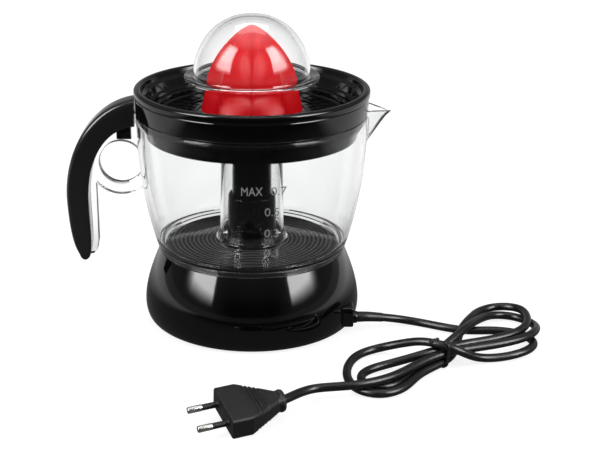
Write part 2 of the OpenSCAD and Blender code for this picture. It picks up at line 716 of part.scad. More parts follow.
module jug() {
    color([0.85, 0.9, 0.93, 0.35]) difference() {
        union() {
            rotate_extrude() polygon(concat([[0, floor_z], [jug_foot_r - foot_lip, floor_z], [jug_foot_r - foot_lip, jug_z]],
                jug_curve(0, 16), [[step_r, seam_z], [step_r, rim_z], [0, rim_z]]));
            beak(0, 0);
        }
        rotate_extrude() polygon(concat([[0, floor_top], [jug_foot_r - jug_wall - 1.5, floor_top]],
            [for (p = jug_curve(jug_wall, 16)) if (p[1] > floor_top + 1) p],
            [[step_r - jug_wall, seam_z + 0.5], [step_r - jug_wall, rim_z + 9], [0, rim_z + 9]]));
        beak(2, 8);
        cylinder(r = chimney_foot_r, h = floor_top + 1);
    }
}

// The chimney stands in the middle of the jug's floor and keeps the juice off the tower
module jug_chimney() {
    color([0.85, 0.9, 0.93, 0.35]) rotate_extrude() polygon([[chimney_foot_r - 2.4, floor_z],
        [chimney_foot_r, floor_z], [chimney_foot_r, floor_top], [chimney_foot_r - 1.4, floor_top + 1],
        [chimney_r + 3.4, floor_top + 6], [chimney_r + 2, floor_top + chimney_h],
        [chimney_r, floor_top + chimney_h], [chimney_r, floor_z + 26], [chimney_r + 2.4, floor_z + 6]]);
}

// Curves of the handle: outer and inner edge of the cover, and outer edge of the web
handle_top = bowl_top - 8;
arm_z = seam_z - 8.5;
function cover_outer() = concat(
    arc_points([[-bead_r - 0.8, handle_top], [-handle_x + 17, handle_top - 4], [-handle_x - 1.5, 118],
        [-handle_x, 84]], 12),
    [for (i = [1:6]) cubic([[-handle_x, 84], [-handle_x + 0.8, 62], [-handle_x + 5, tip_z + 2],
        [-handle_x + 10.8, tip_z]], i / 6)]);
function cover_inner() = concat(
    arc_points([[-bead_r - 0.8, arm_z], [-handle_x + 28.3, arm_z - 1.5], [-handle_x + 16.3, 116],
        [-handle_x + 15.3, 88]], 12),
    [for (i = [1:6]) cubic([[-handle_x + 15.3, 88], [-handle_x + 15.3, 66], [-handle_x + 18.6, tip_z + 9],
        [-handle_x + 12.2, tip_z + 0.6]], i / 6)]);

// Outline of the clear web in the handle's plane
module web_outline() {
    root = step_r - 16.9;
    polygon(concat(
        [[-root, seam_z - 0.6]],
        arc_points([[-jug_rim_r + 3, seam_z - 0.6], [-handle_x + 24, seam_z - 2], [-handle_x + 7, 116],
            [-handle_x + 8, 84]], 12),
        [[-handle_x + 9.5, tip_z + 14], [-handle_x + 12.5, tip_z + 9], [-handle_x + 18, tip_z + 9.5],
            [-handle_x + 20.7, tip_z + 14], [-handle_x + 20.7, ring_z], [-root, ring_z]]));
    translate([-ring_x, ring_z]) circle(r = ring_out);
}

module handle_web() {
    color([0.85, 0.9, 0.93, 0.4]) difference() {
        translate([0, web_t / 2, 0]) rotate([90, 0, 0]) linear_extrude(web_t) difference() {
            web_outline();
            translate([-ring_x, ring_z]) circle(r = ring_in);
        }
        rotate_extrude() polygon(concat([[0, 0], [jug_foot_r, 0]], jug_curve(0, 16), [[step_r, 400], [0, 400]]));
    }
}

module handle_cover() {
    n = len(cover_outer());
    color([0.04, 0.04, 0.045]) difference() {
        loft([for (i = [0:n - 1]) let (o = cover_outer()[i], q = cover_inner()[i], d = unit(q - o),
                w = handle_w / 2 * (1 - 0.28 * pow(i / (n - 1), 3)), b = min(4, norm(q - o) / 3))
            [[o[0], -w + 4, o[1]], [o[0], w - 4, o[1]],
                [o[0] + b * d[0], w, o[1] + b * d[1]], [q[0] - d[0], w, q[1] - d[1]],
                [q[0], w - 1, q[1]], [q[0], -w + 1, q[1]],
                [q[0] - d[0], -w, q[1] - d[1]], [o[0] + b * d[0], -w, o[1] + b * d[1]]]]);
        translate([0, web_t / 2 + 0.15, 0]) rotate([90, 0, 0]) linear_extrude(web_t + 0.3)
            offset(delta = 0.15) web_outline();
    }
}

// Inner outline of the bowl from its rim down to its floor
function bowl_inner() = [[bead_r - 5, bowl_top - 0.6], [bead_r - 5.6, bead_z + 1], [sieve_r + 4.6, bead_z - 0.6],
    [sieve_r + 3.4, bead_z - 6], [sieve_r + 1.2, sieve_top + rim_h + 1.4], [sieve_r + slack, sieve_top + rim_h - 0.6],
    [sieve_r + slack, ledge_z], [sieve_r - rim_w, ledge_z], [sieve_r - rim_w, ledge_z - 1.4],
    [bowl_bottom_r - bowl_wall + 0.6, ledge_z - 3.4], [bowl_bottom_r - bowl_wall, bowl_z + bowl_wall + 2],
    [bowl_bottom_r - bowl_wall - 2, bowl_z + bowl_wall]];

module juice_bowl() {
    hole = sleeve_r + 3.2;
    color([0.03, 0.03, 0.035]) difference() {
        rotate_extrude() polygon(concat(
            [[hole, bowl_z], [bowl_bottom_r - 2, bowl_z], [bowl_bottom_r - 0.4, bowl_z + 0.6],
                [bowl_bottom_r, bowl_z + 2], [step_r - jug_wall - 0.5, seam_z - 0.4],
                [step_r - jug_wall - 0.5, rim_z + seat], [step_r - 1.5, rim_z + seat], [step_r - 1.5, bowl_top - 3],
                [step_r, bowl_top - 3], [step_r + 0.5, rim_z], [step_r + 0.5, band_z],
                [jug_rim_r, band_z], [bead_r - 0.8, bead_z - 0.8], [bead_r - 1.2, bead_z],
                [bead_r - 0.2, bead_z + 0.5], [bead_r, bead_z + bead_h / 2], [bead_r - 0.7, bowl_top - 1],
                [bead_r - 2, bowl_top], [bead_r - 4, bowl_top]],
            bowl_inner(),
            [[hole + 2.2, bowl_z + bowl_wall], [hole + 2, hub_z - 0.7], [hole, hub_z - 0.7]]));
        // Outlets over the jug, outside its chimney
        for (i = [0:outlets - 1]) rotate(360 / outlets * (i + 0.5)) translate([34, 0, bowl_z - 1]) {
            translate([-5, -4, 0]) cube([10, 8, 6]);
            for (s = [-1, 1]) translate([5 * s, 0, 0]) cylinder(r = 4, h = 6, $fn = 48);
        }
        // Notch in the skirt over the spout
        translate([0, 0, seam_z - 0.5]) difference() {
            translate([step_r - 17, -spout_w / 2 - 2, 0]) cube([60, spout_w + 4, rim_step + seat + 0.5]);
            translate([0, 0, -1]) cylinder(r = step_r - 1.5, h = 20);
        }
    }
}

module sieve() {
    color([0.035, 0.035, 0.04]) difference() {
        union() {
            rotate_extrude() polygon(concat(
                [[sleeve_r + run, hub_z], [sleeve_r + 3.4, hub_z], [sleeve_r + 3.8, sieve_z],
                    [sieve_r - 0.6, sieve_z], [sieve_r, sieve_z + 0.6]],
                [for (a = [0:30:180]) [sieve_r - rim_w / 2 + rim_w / 2 * cos(a), sieve_top + rim_h - rim_w / 2
                    + rim_w / 2 * sin(a)]],
                [[sieve_r - rim_w, sieve_top + 0.8], [sieve_r - rim_w - 0.8, sieve_top], [sleeve_r + run, sieve_top]]));
            // Raised rings that guide the pulp
            for (r = [cone_r + 4, cone_r + 13]) translate([0, 0, sieve_top - eps]) difference() {
                cylinder(r = r, h = 0.8);
                translate([0, 0, -1]) cylinder(r = r - 1.4, h = 4);
            }
        }
        for (i = [0:slots - 1]) rotate(360 / slots * i) {
            translate([cone_r + 6, -slot_w / 2, sieve_z - 1]) cube([6, slot_w, 6]);
            translate([cone_r + 14.6, -slot_w / 2, sieve_z - 1]) cube([sieve_r - rim_w - cone_r - 17, slot_w, 6]);
        }
    }
}

module drive_sleeve() {
    color([0.045, 0.045, 0.05]) difference() {
        rotate_extrude() polygon([[nose_r + 1, sleeve_z], [sleeve_r - 0.6, sleeve_z], [sleeve_r, sleeve_z + 0.6],
            [sleeve_r, sleeve_flange_z], [sleeve_r + 3.2, sleeve_flange_z], [sleeve_r + 3.2, sleeve_flange_z + 1.6],
            [sleeve_bore, sleeve_flange_z + 1.6], [sleeve_bore, head_z - press - 1], [nose_r + 1, head_z - press - 2.5]]);
        // Keyways that turn the spindle head
        for (a = [0, 180]) rotate(a) translate([sleeve_bore - 1, -1.7, head_z - press - 1]) cube([2.1, 3.4, 90]);
        // Groove of the clip
        translate([0, 0, hub_z - 1.9]) difference() {
            cylinder(r = sleeve_r + 3, h = 1.4);
            translate([0, 0, -1]) cylinder(r = sleeve_r - 0.5, h = 4);
        }
    }
}

module sleeve_clip() {
    color([0.6, 0.61, 0.63]) translate([0, 0, hub_z - 1.8]) difference() {
        cylinder(r = sleeve_r + 1.7, h = 1.2);
        translate([0, 0, -1]) cylinder(r = sleeve_r - 0.5, h = 4);
        translate([0, -sleeve_r * 0.6, -1]) cube([40, sleeve_r * 1.2, 4]);
    }
}

module spindle_head() {
    color([0.05, 0.05, 0.055]) difference() {
        union() {
            translate([0, 0, head_z]) cylinder(r = sleeve_bore - run, h = post_z - head_z);
            for (a = [0, 180]) rotate(a) translate([sleeve_bore - 1.2, -1.5, head_z + 1])
                cube([2, 3, sleeve_flange_z - head_z - 3]);
            translate([0, 0, post_z - eps]) rotate(30) cylinder(r = 8, h = 17, $fn = 6);
            translate([0, 0, post_z + 16.9]) cylinder(r = 6.4, h = 1.4);
        }
        translate([0, 0, head_z - 1]) rotate(30) cylinder(r = hex_r + 0.3, h = hex_top - head_z + 1.6, $fn = 6);
        translate([0, 0, head_z - 1]) cylinder(r = hex_r + 0.6, h = 1.8);
        translate([0, 0, hex_top + 3]) cylinder(r = 4.4, h = post_z + 12 - hex_top);
    }
}

// Radius of the cone's ribs at the height fraction f, and the share of it that the flutes cut away
function cone_profile(f) = f < 0.26 ? cone_r * (1 - 0.10 * f / 0.26)
    : cone_r * 0.9 * pow(1 - pow((f - 0.26) / 0.74, 1.75), 0.72);
function cone_radius(f, a) = let (r = cone_profile(f), wave = pow(abs(sin(ribs * a / 2)), 0.8))
    max(r - flute * min(1, r / 12) * wave * min(1, 0.25 + f * 3), 0.4);

module cone() {
    rings = 15;
    points = ribs * 6;
    color([0.82, 0.03, 0.07]) translate([0, 0, cone_z]) difference() {
        loft([for (i = [0:rings]) let (f = i < rings ? sin(90 * i / rings) : 0.9995)
            [for (j = [0:points - 1]) let (a = 360 * j / points, r = cone_radius(f, a))
                [r * cos(a), r * sin(a), cone_h * f]]]);
        // Hollow under the cone, with the socket that drops over the spindle head
        difference() {
            translate([0, 0, -1]) rotate_extrude() polygon([[0, 0], [cone_r - 5.4, 0], [cone_r - 6.6, 9],
                [cone_r - 14, 28], [0, 28]]);
            cylinder(r = sleeve_bore - 1.4, h = 60);
            translate([0, 0, 0]) cylinder(r = sleeve_bore + 1.4, h = 60);
        }
        translate([0, 0, -1]) cylinder(r = sleeve_r + 4, h = 1 + sleeve_flange_z + 1.6 + seat + press - cone_z + 1);
        translate([0, 0, -1]) cylinder(r = sleeve_bore + 0.3, h = post_z - cone_z + 1 + 0.2);
        translate([0, 0, 0]) rotate(30) cylinder(r = 8.3, h = post_z - cone_z + 19.2, $fn = 6);
    }
}

module dust_cover() {
    boss = 3;
    inner_top = cover_z + cover_h - cover_wall;
    function dome(r, h, n) = [for (i = [0:n]) [r * pow(cos(90 * i / n), 0.92), cover_z + h * sin(90 * i / n)]];
    color([0.88, 0.92, 0.95, 0.3]) rotate_extrude() polygon(concat(
        [[cover_r - cover_wall, cover_z], [flange_r - 0.4, cover_z], [flange_r, cover_z + 0.5],
            [flange_r, cover_z + 1.5], [flange_r - 0.5, cover_z + 2], [cover_r + 1, cover_z + 2]],
        [for (p = dome(cover_r, cover_h, 18)) if (p[1] > cover_z + 3 && p[0] > 0.5) p],
        [[0, cover_z + cover_h], [0, apex_z + seat], [boss, apex_z + seat], [boss + 0.8, apex_z - 0.2],
            [boss + 1.7, apex_z - 0.2], [boss + 2.2, inner_top - 0.6]],
        [for (i = [17:-1:0]) let (p = dome(cover_r - cover_wall, cover_h - cover_wall, 18)[i])
            if (p[0] > boss + 3 && p[1] > cover_z + 0.1) p]));
}

base_housing();
base_plate();
rubber_feet();
base_screws();
gear_plate();
plate_screws();
motor_can();
motor_lid();
coil_bobbin();
rotor_magnet();
rotor_pinion();
idler_gear();
gear_pin();
output_gear();
drive_shaft();
tower_bush();
return_spring();
switch_body();
switch_plunger();
cord_gland();
cord_relief();
cord_lead();
cord_hank();
cord_tie();
cord_tail();
plug_body();
pin_sleeves();
plug_pins();
jug();
jug_chimney();
handle_web();
handle_cover();
juice_bowl();
sieve();
drive_sleeve();
sleeve_clip();
spindle_head();
cone();
dust_cover();
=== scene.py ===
"""Citrus press juicer: the visual model, its light and its camera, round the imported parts.

Sizes are in millimetres and turn into metres where a mesh is made. Z is up, the spout
points to +X, the handle to -X, and z = 0 is the worktop.
"""

import logging
import math
from collections.abc import Callable, Iterable, Sequence
from dataclasses import dataclass, field
from enum import Enum

import bmesh
import bpy
from mathutils import Euler, Matrix, Vector

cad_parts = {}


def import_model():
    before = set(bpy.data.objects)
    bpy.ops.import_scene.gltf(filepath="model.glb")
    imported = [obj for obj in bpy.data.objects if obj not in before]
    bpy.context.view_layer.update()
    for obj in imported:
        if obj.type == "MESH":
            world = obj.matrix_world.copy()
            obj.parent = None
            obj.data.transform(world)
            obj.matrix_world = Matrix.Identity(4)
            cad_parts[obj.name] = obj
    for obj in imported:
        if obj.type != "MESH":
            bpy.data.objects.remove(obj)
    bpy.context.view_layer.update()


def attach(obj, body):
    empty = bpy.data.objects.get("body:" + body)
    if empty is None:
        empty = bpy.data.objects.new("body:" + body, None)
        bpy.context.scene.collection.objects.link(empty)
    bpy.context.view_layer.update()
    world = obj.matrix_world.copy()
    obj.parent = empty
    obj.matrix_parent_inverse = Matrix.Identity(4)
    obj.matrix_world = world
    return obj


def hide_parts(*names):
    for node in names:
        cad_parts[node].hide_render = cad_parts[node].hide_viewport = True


log = logging.getLogger("juicer")

MM = 0.001
FULL_TURN = 2 * math.pi

Point2 = tuple[float, float]
Point3 = tuple[float, float, float]
Colour = tuple[float, float, float]
WHITE = (1.0, 1.0, 1.0, 1.0)


# --------------------------------------------------------------------------- shader maths


class Shade:
    """A shader socket that takes part in arithmetic; every operator adds a Math node."""

    def __init__(self, tree: bpy.types.NodeTree, socket: bpy.types.NodeSocket) -> None:
        """Wraps a socket.

        Args:
            tree: The node tree the socket belongs to.
            socket: The output socket.
        """
        self.tree = tree
        self.socket = socket

    def _math(self, operation: str, first: "Shade | float", second: "Shade | float") -> "Shade":
        """Adds one Math node.

        Args:
            operation: The node's operation.
            first: Its first value.
            second: Its second value.

        Returns:
            The node's result.
        """
        node = self.tree.nodes.new("ShaderNodeMath")
        node.operation = operation
        for socket, value in zip(node.inputs, (first, second)):
            feed(socket, value)
        return Shade(self.tree, node.outputs[0])

    def __add__(self, other: "Shade | float") -> "Shade":
        """self + other"""
        return self._math("ADD", self, other)

    def __radd__(self, other: float) -> "Shade":
        """other + self"""
        return self._math("ADD", other, self)

    def __sub__(self, other: "Shade | float") -> "Shade":
        """self - other"""
        return self._math("SUBTRACT", self, other)

    def __rsub__(self, other: float) -> "Shade":
        """other - self"""
        return self._math("SUBTRACT", other, self)

    def __mul__(self, other: "Shade | float") -> "Shade":
        """self * other"""
        return self._math("MULTIPLY", self, other)

    def __rmul__(self, other: float) -> "Shade":
        """other * self"""
        return self._math("MULTIPLY", other, self)

    def __pow__(self, other: "Shade | float") -> "Shade":
        """self ** other"""
        return self._math("POWER", self, other)

    def above(self, limit: float) -> "Shade":
        """1 where the value is over limit, else 0."""
        return self._math("GREATER_THAN", self, limit)

    def at_most(self, limit: "Shade | float") -> "Shade":
        """The smaller of the value and limit."""
        return self._math("MINIMUM", self, limit)

    def at_least(self, limit: "Shade | float") -> "Shade":
        """The larger of the value and limit."""
        return self._math("MAXIMUM", self, limit)

    def size(self) -> "Shade":
        """The value without its sign."""
        return self._math("ABSOLUTE", self, 0.0)

    def part(self) -> "Shade":
        """What is left of the value over a whole number."""
        return self._math("FRACT", self, 0.0)

    def ramp(self, low: float, high: float) -> "Shade":
        """0 at low, 1 at high and a straight line between, in either direction."""
        rise = self * (1 / (high - low)) - low / (high - low)
        return rise.at_most(1.0).at_least(0.0)


def feed(socket: bpy.types.NodeSocket, value: "Shade | float | Sequence[float]") -> None:
    """Links a Shade to an input socket, or sets the socket's own value.

    Args:
        socket: The input socket.
        value: What it takes.
    """
    if isinstance(value, Shade):
        value.tree.links.new(value.socket, socket)
    else:
        socket.default_value = value


class Recipe:
    """A node tree in the making, with one method that adds any node."""

    def __init__(self, tree: bpy.types.NodeTree) -> None:
        """Empties the tree.

        Args:
            tree: The tree of a material or the world.
        """
        self.tree = tree
        tree.nodes.clear()

    def node(
        self, kind: str, settings: dict | None = None, inputs: dict | None = None, output: int | str = 0
    ) -> Shade | None:
        """Adds a node.

        Args:
            kind: The node's type without its ShaderNode prefix.
            settings: Properties set first; "stops" holds a ramp's (place, colour) pairs.
            inputs: Values or links by socket name or number.
            output: The socket that is returned.

        Returns:
            The chosen output, or None for a node that has no outputs.
        """
        node = self.tree.nodes.new("ShaderNode" + kind)
        for key, value in (settings or {}).items():
            if key == "stops":
                ramp = node.color_ramp.elements
                while len(ramp) < len(value):
                    ramp.new(0.5)
                for stop, (place, colour) in zip(ramp, value):
                    stop.position, stop.color = place, colour
            else:
                setattr(node, key, value)
        for key, value in (inputs or {}).items():
            feed(node.inputs[key], value)
        return Shade(self.tree, node.outputs[output]) if node.outputs else None

    def noise(self, scale: float, detail: float = 2.0, stretch: Point3 = (1, 1, 1)) -> Shade:
        """A noise over the object, with features about 1 / scale metres wide.

        Args:
            scale: Features per metre.
            detail: Octaves.
            stretch: Factors along X, Y and Z.

        Returns:
            The noise, from 0 to 1.
        """
        place = self.node("TexCoord", output="Object")
        placed = self.node("Mapping", inputs={"Vector": place, "Scale": stretch})
        return self.node(
            "TexNoise", {"noise_dimensions": "3D"}, {"Vector": placed, "Scale": scale, "Detail": detail}
        )

    def between(self, share: Shade, first: Colour, second: Colour) -> Shade:
        """A colour that goes from first to second as share goes from 0 to 1.

        Args:
            share: What decides the mix.
            first: The colour at 0.
            second: The colour at 1.

        Returns:
            The mixed colour.
        """
        return self.node(
            "Mix", {"data_type": "RGBA"}, {0: share, 6: (*first, 1.0), 7: (*second, 1.0)}, output=2
        )

    def axes(self, place: str) -> list[Shade]:
        """X, Y and Z of one of the Texture Coordinate outputs."""
        vector = self.node("TexCoord", output=place)
        return [self.node("SeparateXYZ", inputs={"Vector": vector}, output=axis) for axis in range(3)]

    def ray(self, kind: str) -> Shade:
        """One of the Light Path outputs."""
        return self.node("LightPath", output=kind)

    def light(self, kind: str, strength: "Shade | float") -> Shade:
        """A white shader of the Emission or Background kind."""
        return self.node(kind, inputs={"Color": WHITE, "Strength": strength})

    def either(self, share: Shade, first: Shade, second: Shade) -> Shade:
        """A shader that goes from first to second as share goes from 0 to 1."""
        return self.node("MixShader", inputs={0: share, 1: first, 2: second})

    def bump(self, height: Shade, depth: float) -> Shade:
        """A normal from a height map.

        Args:
            height: The map, from 0 to 1.
            depth: What 1 stands for, in metres.

        Returns:
            The bent normal.
        """
        return self.node("Bump", inputs={"Strength": 1.0, "Distance": depth, "Height": height})

    def finish(self, shader: Shade, kind: str = "OutputMaterial") -> None:
        """Ends the tree with its output."""
        self.node(kind, inputs={"Surface": shader})


# --------------------------------------------------------------------------- levels


@dataclass(frozen=True)
class Levels:
    """Heights and radii that several sub-assemblies share."""

    base_top: float = 50.7
    deck: float = 54.5
    tower_top: float = 89.0
    jug_foot: float = 51.0
    jug_floor: float = 57.1
    seam: float = 147.5
    rim: float = 151.5
    band: float = 147.8
    bead: float = 159.8
    bowl_top: float = 165.2
    bowl_bottom: float = 131.7
    sieve: float = 147.0
    cone: float = 149.8
    cover: float = 170.6


LEVELS = Levels()


@dataclass(frozen=True)
class DeckRings:
    """The rings in the base's deck, from its edge to the foot of the tower."""

    outer: float = 58.4
    inner: float = 25.1
    count: int = 11
    depth: float = 1.3
    crest_share: float = 0.44

    @property
    def pitch(self) -> float:
        """The distance from one ring to the next."""
        return (self.outer - self.inner) / self.count


DECK_RINGS = DeckRings()


# --------------------------------------------------------------------------- finishes


@dataclass(frozen=True)
class Finish:
    """A surface finish; each kind writes its own shader."""

    name: str
    slot: str
    colour: Colour

    def shader(self, recipe: Recipe) -> Shade:
        """Adds the finish's shader.

        Args:
            recipe: The tree to add to.

        Returns:
            The shader.
        """
        raise NotImplementedError

    def material(self) -> bpy.types.Material:
        """The finish's material, made once.

        Returns:
            The material.
        """
        title = f"finish_{self.name}"
        made = bpy.data.materials.get(title)
        if made is None:
            made = bpy.data.materials.new(title)
            made.use_nodes = True
            recipe = Recipe(made.node_tree)
            recipe.finish(self.shader(recipe))
        return made

    def lifted(self, gain: float, most: float = 1.0) -> Colour:
        """The colour made brighter by a factor."""
        return tuple(min(most, gain * channel + 0.002 * (gain - 1)) for channel in self.colour)


@dataclass(frozen=True)
class GlossPlastic(Finish):
    """Polished moulding: faint flow waves, hairline marks and dust, under a hard gloss."""

    roughness: float = 0.05
    dust: float = 0.5
    ior: float = 1.5
    waves: float = 26.0
    hairs: float = 240.0
    specks: float = 2100.0
    speck_from: float = 0.71
    wave_height: float = 0.00006

    def wear(self, recipe: Recipe) -> tuple[Shade, Shade]:
        """Adds flow waves and hairline marks.

        Args:
            recipe: The tree to add to.

        Returns:
            How worn the surface is, from 0 to 1, and its bent normal.
        """
        flow = recipe.noise(self.waves, 3)
        hair = recipe.noise(self.hairs, 4, (1, 1, 0.08))
        return flow * 0.35 + hair * 0.65, recipe.bump(flow * 0.8 + hair * 0.2, self.wave_height)

    def shader(self, recipe: Recipe) -> Shade:
        """Adds the finish's shader.

        Args:
            recipe: The tree to add to.

        Returns:
            The shader.
        """
        wear, normal = self.wear(recipe)
        dust = recipe.noise(self.specks, 1).above(self.speck_from) * (0.12 * self.dust)
        return recipe.node(
            "BsdfPrincipled",
            inputs={
                "Base Color": recipe.between(wear, self.colour, self.lifted(1.35)),
                "Roughness": wear * 0.05 + self.roughness + dust,
                "IOR": self.ior,
                "Normal": normal,
            },
        )


@dataclass(frozen=True)
class RibbedGloss(GlossPlastic):
    """Polished moulding with rings round the Z axis whose crests carry a painted highlight: a lighter,
    rougher surface in place of the light the rings catch.
    """

    # The colour of the painted highlight on the crests.
    crest_highlight_colour: Colour = (0.085, 0.085, 0.087)
    rings: DeckRings = DECK_RINGS
    low: float = LEVELS.deck - 1.0

    def crests(self, recipe: Recipe) -> Shade:
        """1 on the rings' crests, where the highlight is painted, and 0 elsewhere.

        Args:
            recipe: The tree to add to.

        Returns:
            The mask.
        """
        x, y, z = recipe.axes("Object")
        r = (x * x + y * y) ** 0.5
        steps = (self.rings.outer * MM - r) * (1 / (self.rings.pitch * MM))
        on_crest = steps.part().above(1 - self.rings.crest_share)
        on_deck = r.above(self.rings.inner * MM) * (1 - r.above(self.rings.outer * MM))
        return on_crest * on_deck * z.above(self.low * MM)

    def shader(self, recipe: Recipe) -> Shade:
        """Adds the finish's shader.

        Args:
            recipe: The tree to add to.

        Returns:
            The shader.
        """
        # The crests get a painted highlight: a lighter base colour where the rings would catch light.
        crest_highlight = self.crests(recipe)
        wear, normal = self.wear(recipe)
        return recipe.node(
            "BsdfPrincipled",
            inputs={
                "Base Color": recipe.between(crest_highlight * (wear * 0.5 + 0.75), self.colour, self.crest_highlight_colour),
                "Roughness": wear * 0.05 + self.roughness + crest_highlight * 0.15,
                "IOR": self.ior,
                "Normal": normal,
            },
        )


@dataclass(frozen=True)
class MattPlastic(Finish):
    """Spark-grained moulding with a soft, even sheen."""

    roughness: float = 0.45
    grain: float = 900.0
    depth: float = 0.00012
    clouds: float = 45.0

    def shader(self, recipe: Recipe) -> Shade:
        """Adds the finish's shader.

        Args:
            recipe: The tree to add to.

        Returns:
            The shader.
        """
        cloud = recipe.noise(self.clouds, 3)
        grain = recipe.noise(self.grain, 2)
        return recipe.node(
            "BsdfPrincipled",
            inputs={
                "Base Color": recipe.between(cloud, self.colour, self.lifted(1.5)),
                "Roughness": cloud * 0.12 + grain * 0.1 + (self.roughness - 0.1),
                "IOR": 1.48,
                "Normal": recipe.bump(grain, self.depth),
            },
        )


@dataclass(frozen=True)
class Sheath(Finish):
    """Extruded flexible sheath: a satin skin with fine marks."""

    roughness: float = 0.36
    clouds: float = 60.0
    marks: float = 1500.0
    mark_height: float = 0.00008

    def shader(self, recipe: Recipe) -> Shade:
        """Adds the finish's shader.

        Args:
            recipe: The tree to add to.

        Returns:
            The shader.
        """
        cloud = recipe.noise(self.clouds, 3)
        skin = recipe.noise(self.marks, 2)
        return recipe.node(
            "BsdfPrincipled",
            inputs={
                "Base Color": recipe.between(cloud, self.colour, self.lifted(1.7)),
                "Roughness": cloud * 0.12 + skin * 0.08 + (self.roughness - 0.1),
                "IOR": 1.52,
                "Normal": recipe.bump(skin, self.mark_height),
            },
        )


@dataclass(frozen=True)
class ClearPlastic(Finish):
    """Clear moulding: light passes it, with faint flow waves in the surface."""

    roughness: float = 0.0
    ior: float = 1.49
    waves: float = 18.0
    wave_height: float = 0.00012
    marks: float = 420.0

    def shader(self, recipe: Recipe) -> Shade:
        """Adds the finish's shader, which lets lamps through for shadow rays.

        Args:
            recipe: The tree to add to.

        Returns:
            The shader.
        """
        flow = recipe.noise(self.waves, 2)
        marks = recipe.noise(self.marks, 3)
        clear = recipe.node(
            "BsdfPrincipled",
            inputs={
                "Base Color": recipe.between(flow, self.colour, tuple(0.985 * c for c in self.colour)),
                "Roughness": marks * 0.02 + self.roughness,
                "IOR": self.ior,
                "Transmission Weight": 1.0,
                "Normal": recipe.bump(flow, self.wave_height),
            },
        )
        through = recipe.node("BsdfTransparent", inputs={"Color": (*self.colour, 1.0)})
        return recipe.either(recipe.ray("Is Shadow Ray"), clear, through)


@dataclass(frozen=True)
class Metal(Finish):
    """Plated or pressed metal with fine drawn marks."""

    roughness: float = 0.28
    stretch: Point3 = (1, 1, 0.05)
    marks: float = 700.0
    mark_height: float = 0.00003
    stains: float = 80.0

    def shader(self, recipe: Recipe) -> Shade:
        """Adds the finish's shader.

        Args:
            recipe: The tree to add to.

        Returns:
            The shader.
        """
        drawn = recipe.noise(self.marks, 3, self.stretch)
        stain = recipe.noise(self.stains, 2)
        return recipe.node(
            "BsdfPrincipled",
            inputs={
                "Base Color": recipe.between(stain, self.colour, tuple(0.86 * c for c in self.colour)),
                "Metallic": 1.0,
                "Roughness": drawn * 0.16 + stain * 0.06 + (self.roughness - 0.1),
                "Normal": recipe.bump(drawn, self.mark_height),
            },
        )


@dataclass(frozen=True)
class Winding(Finish):
    """Enamelled wire laid turn on turn, its colour darker in the grooves between turns as painted shade."""

    turns: float = 900.0
    wire_height: float = 0.0002

    def shader(self, recipe: Recipe) -> Shade:
        """Adds the finish's shader.

        Args:
            recipe: The tree to add to.

        Returns:
            The shader.
        """
        place = recipe.node("TexCoord", output="Object")
        turns = recipe.node(
            "TexWave",
            {"wave_type": "BANDS", "bands_direction": "Z"},
            {"Vector": place, "Scale": self.turns, "Distortion": 0.4},
            output=1,
        )
        # The darker colour in the grooves between turns is painted shade.
        return recipe.node(
            "BsdfPrincipled",
            inputs={
                "Base Color": recipe.between(turns, tuple(0.45 * c for c in self.colour), self.colour),
                "Roughness": turns * -0.15 + 0.42,
                "Normal": recipe.bump(turns, self.wire_height),
            },
        )


BLACK_GLOSS = GlossPlastic("black_gloss", "black_gloss", (0.0018, 0.0018, 0.002), 0.045, 0.6)
BLACK_RIBBED = RibbedGloss("black_ribbed", "black_gloss", (0.0018, 0.0018, 0.002), 0.045, 0.6)
BLACK_COVER = GlossPlastic("black_cover", "black_gloss", (0.016, 0.016, 0.0165), 0.11, 0.6)
RED_PLASTIC = GlossPlastic("red_plastic", "red_plastic", (0.52, 0.002, 0.006), 0.26, 0.3, 1.33)
BLACK_MATT = MattPlastic("black_matt", "black_matt", (0.009, 0.009, 0.0094), 0.36)
PLUG_BLACK = MattPlastic("plug_black", "black_matt", (0.009, 0.009, 0.0094), 0.42, 1100.0, 0.00008)
RUBBER = MattPlastic("rubber_feet", "rubber", (0.03, 0.03, 0.031), 0.7, 600.0)
CORD_BLACK = Sheath("cord_sheath", "cord_sheath", (0.006, 0.006, 0.0063), 0.3)
ACETAL = MattPlastic("acetal", "gear_plastic", (0.8, 0.78, 0.71), 0.34, 700.0, 0.00003)
STEEL = Metal("zinc_plate", "steel", (0.6, 0.61, 0.63), 0.34)
NICKEL = Metal("nickel_plate", "nickel", (0.82, 0.81, 0.78), 0.16, (0.06, 1, 1))
BRONZE = Metal("sintered_bronze", "bronze", (0.55, 0.38, 0.18), 0.42, (1, 1, 1))
MAGNET = MattPlastic("sintered_magnet", "magnet", (0.06, 0.06, 0.065), 0.6, 500.0, 0.0002)
COPPER = Winding("copper_winding", "winding", (0.62, 0.26, 0.09))
CLEAR = ClearPlastic("clear_plastic", "clear_plastic", (0.985, 0.99, 0.99))
CLEAR_COVER = ClearPlastic("clear_cover", "clear_plastic", (0.985, 0.99, 0.99), 0.0, 1.45)
MARK_GREY = MattPlastic("mark_grey", "clear_plastic", (0.3, 0.305, 0.31), 0.4, 900.0, 0.00002)


# --------------------------------------------------------------------------- outlines and meshes


def curve_point(control: Sequence[Sequence[float]], t: float) -> tuple[float, ...]:
    """A point on a Bezier curve of any degree.

    Args:
        control: Its control points.
        t: The place on it, from 0 to 1.

    Returns:
        The point.
    """
    points = [tuple(p) for p in control]
    while len(points) > 1:
        points = [
            tuple(a + (b - a) * t for a, b in zip(p, q)) for p, q in zip(points, points[1:])
        ]
    return points[0]


def curve_points(control: Sequence[Sequence[float]], count: int) -> list[tuple[float, ...]]:
    """count + 1 points along a Bezier curve."""
    return [curve_point(control, i / count) for i in range(count + 1)]


def turn_angles(count: int) -> list[float]:
    """The angles of a turn in count steps, in radians."""
    return [FULL_TURN * k / count for k in range(count)]


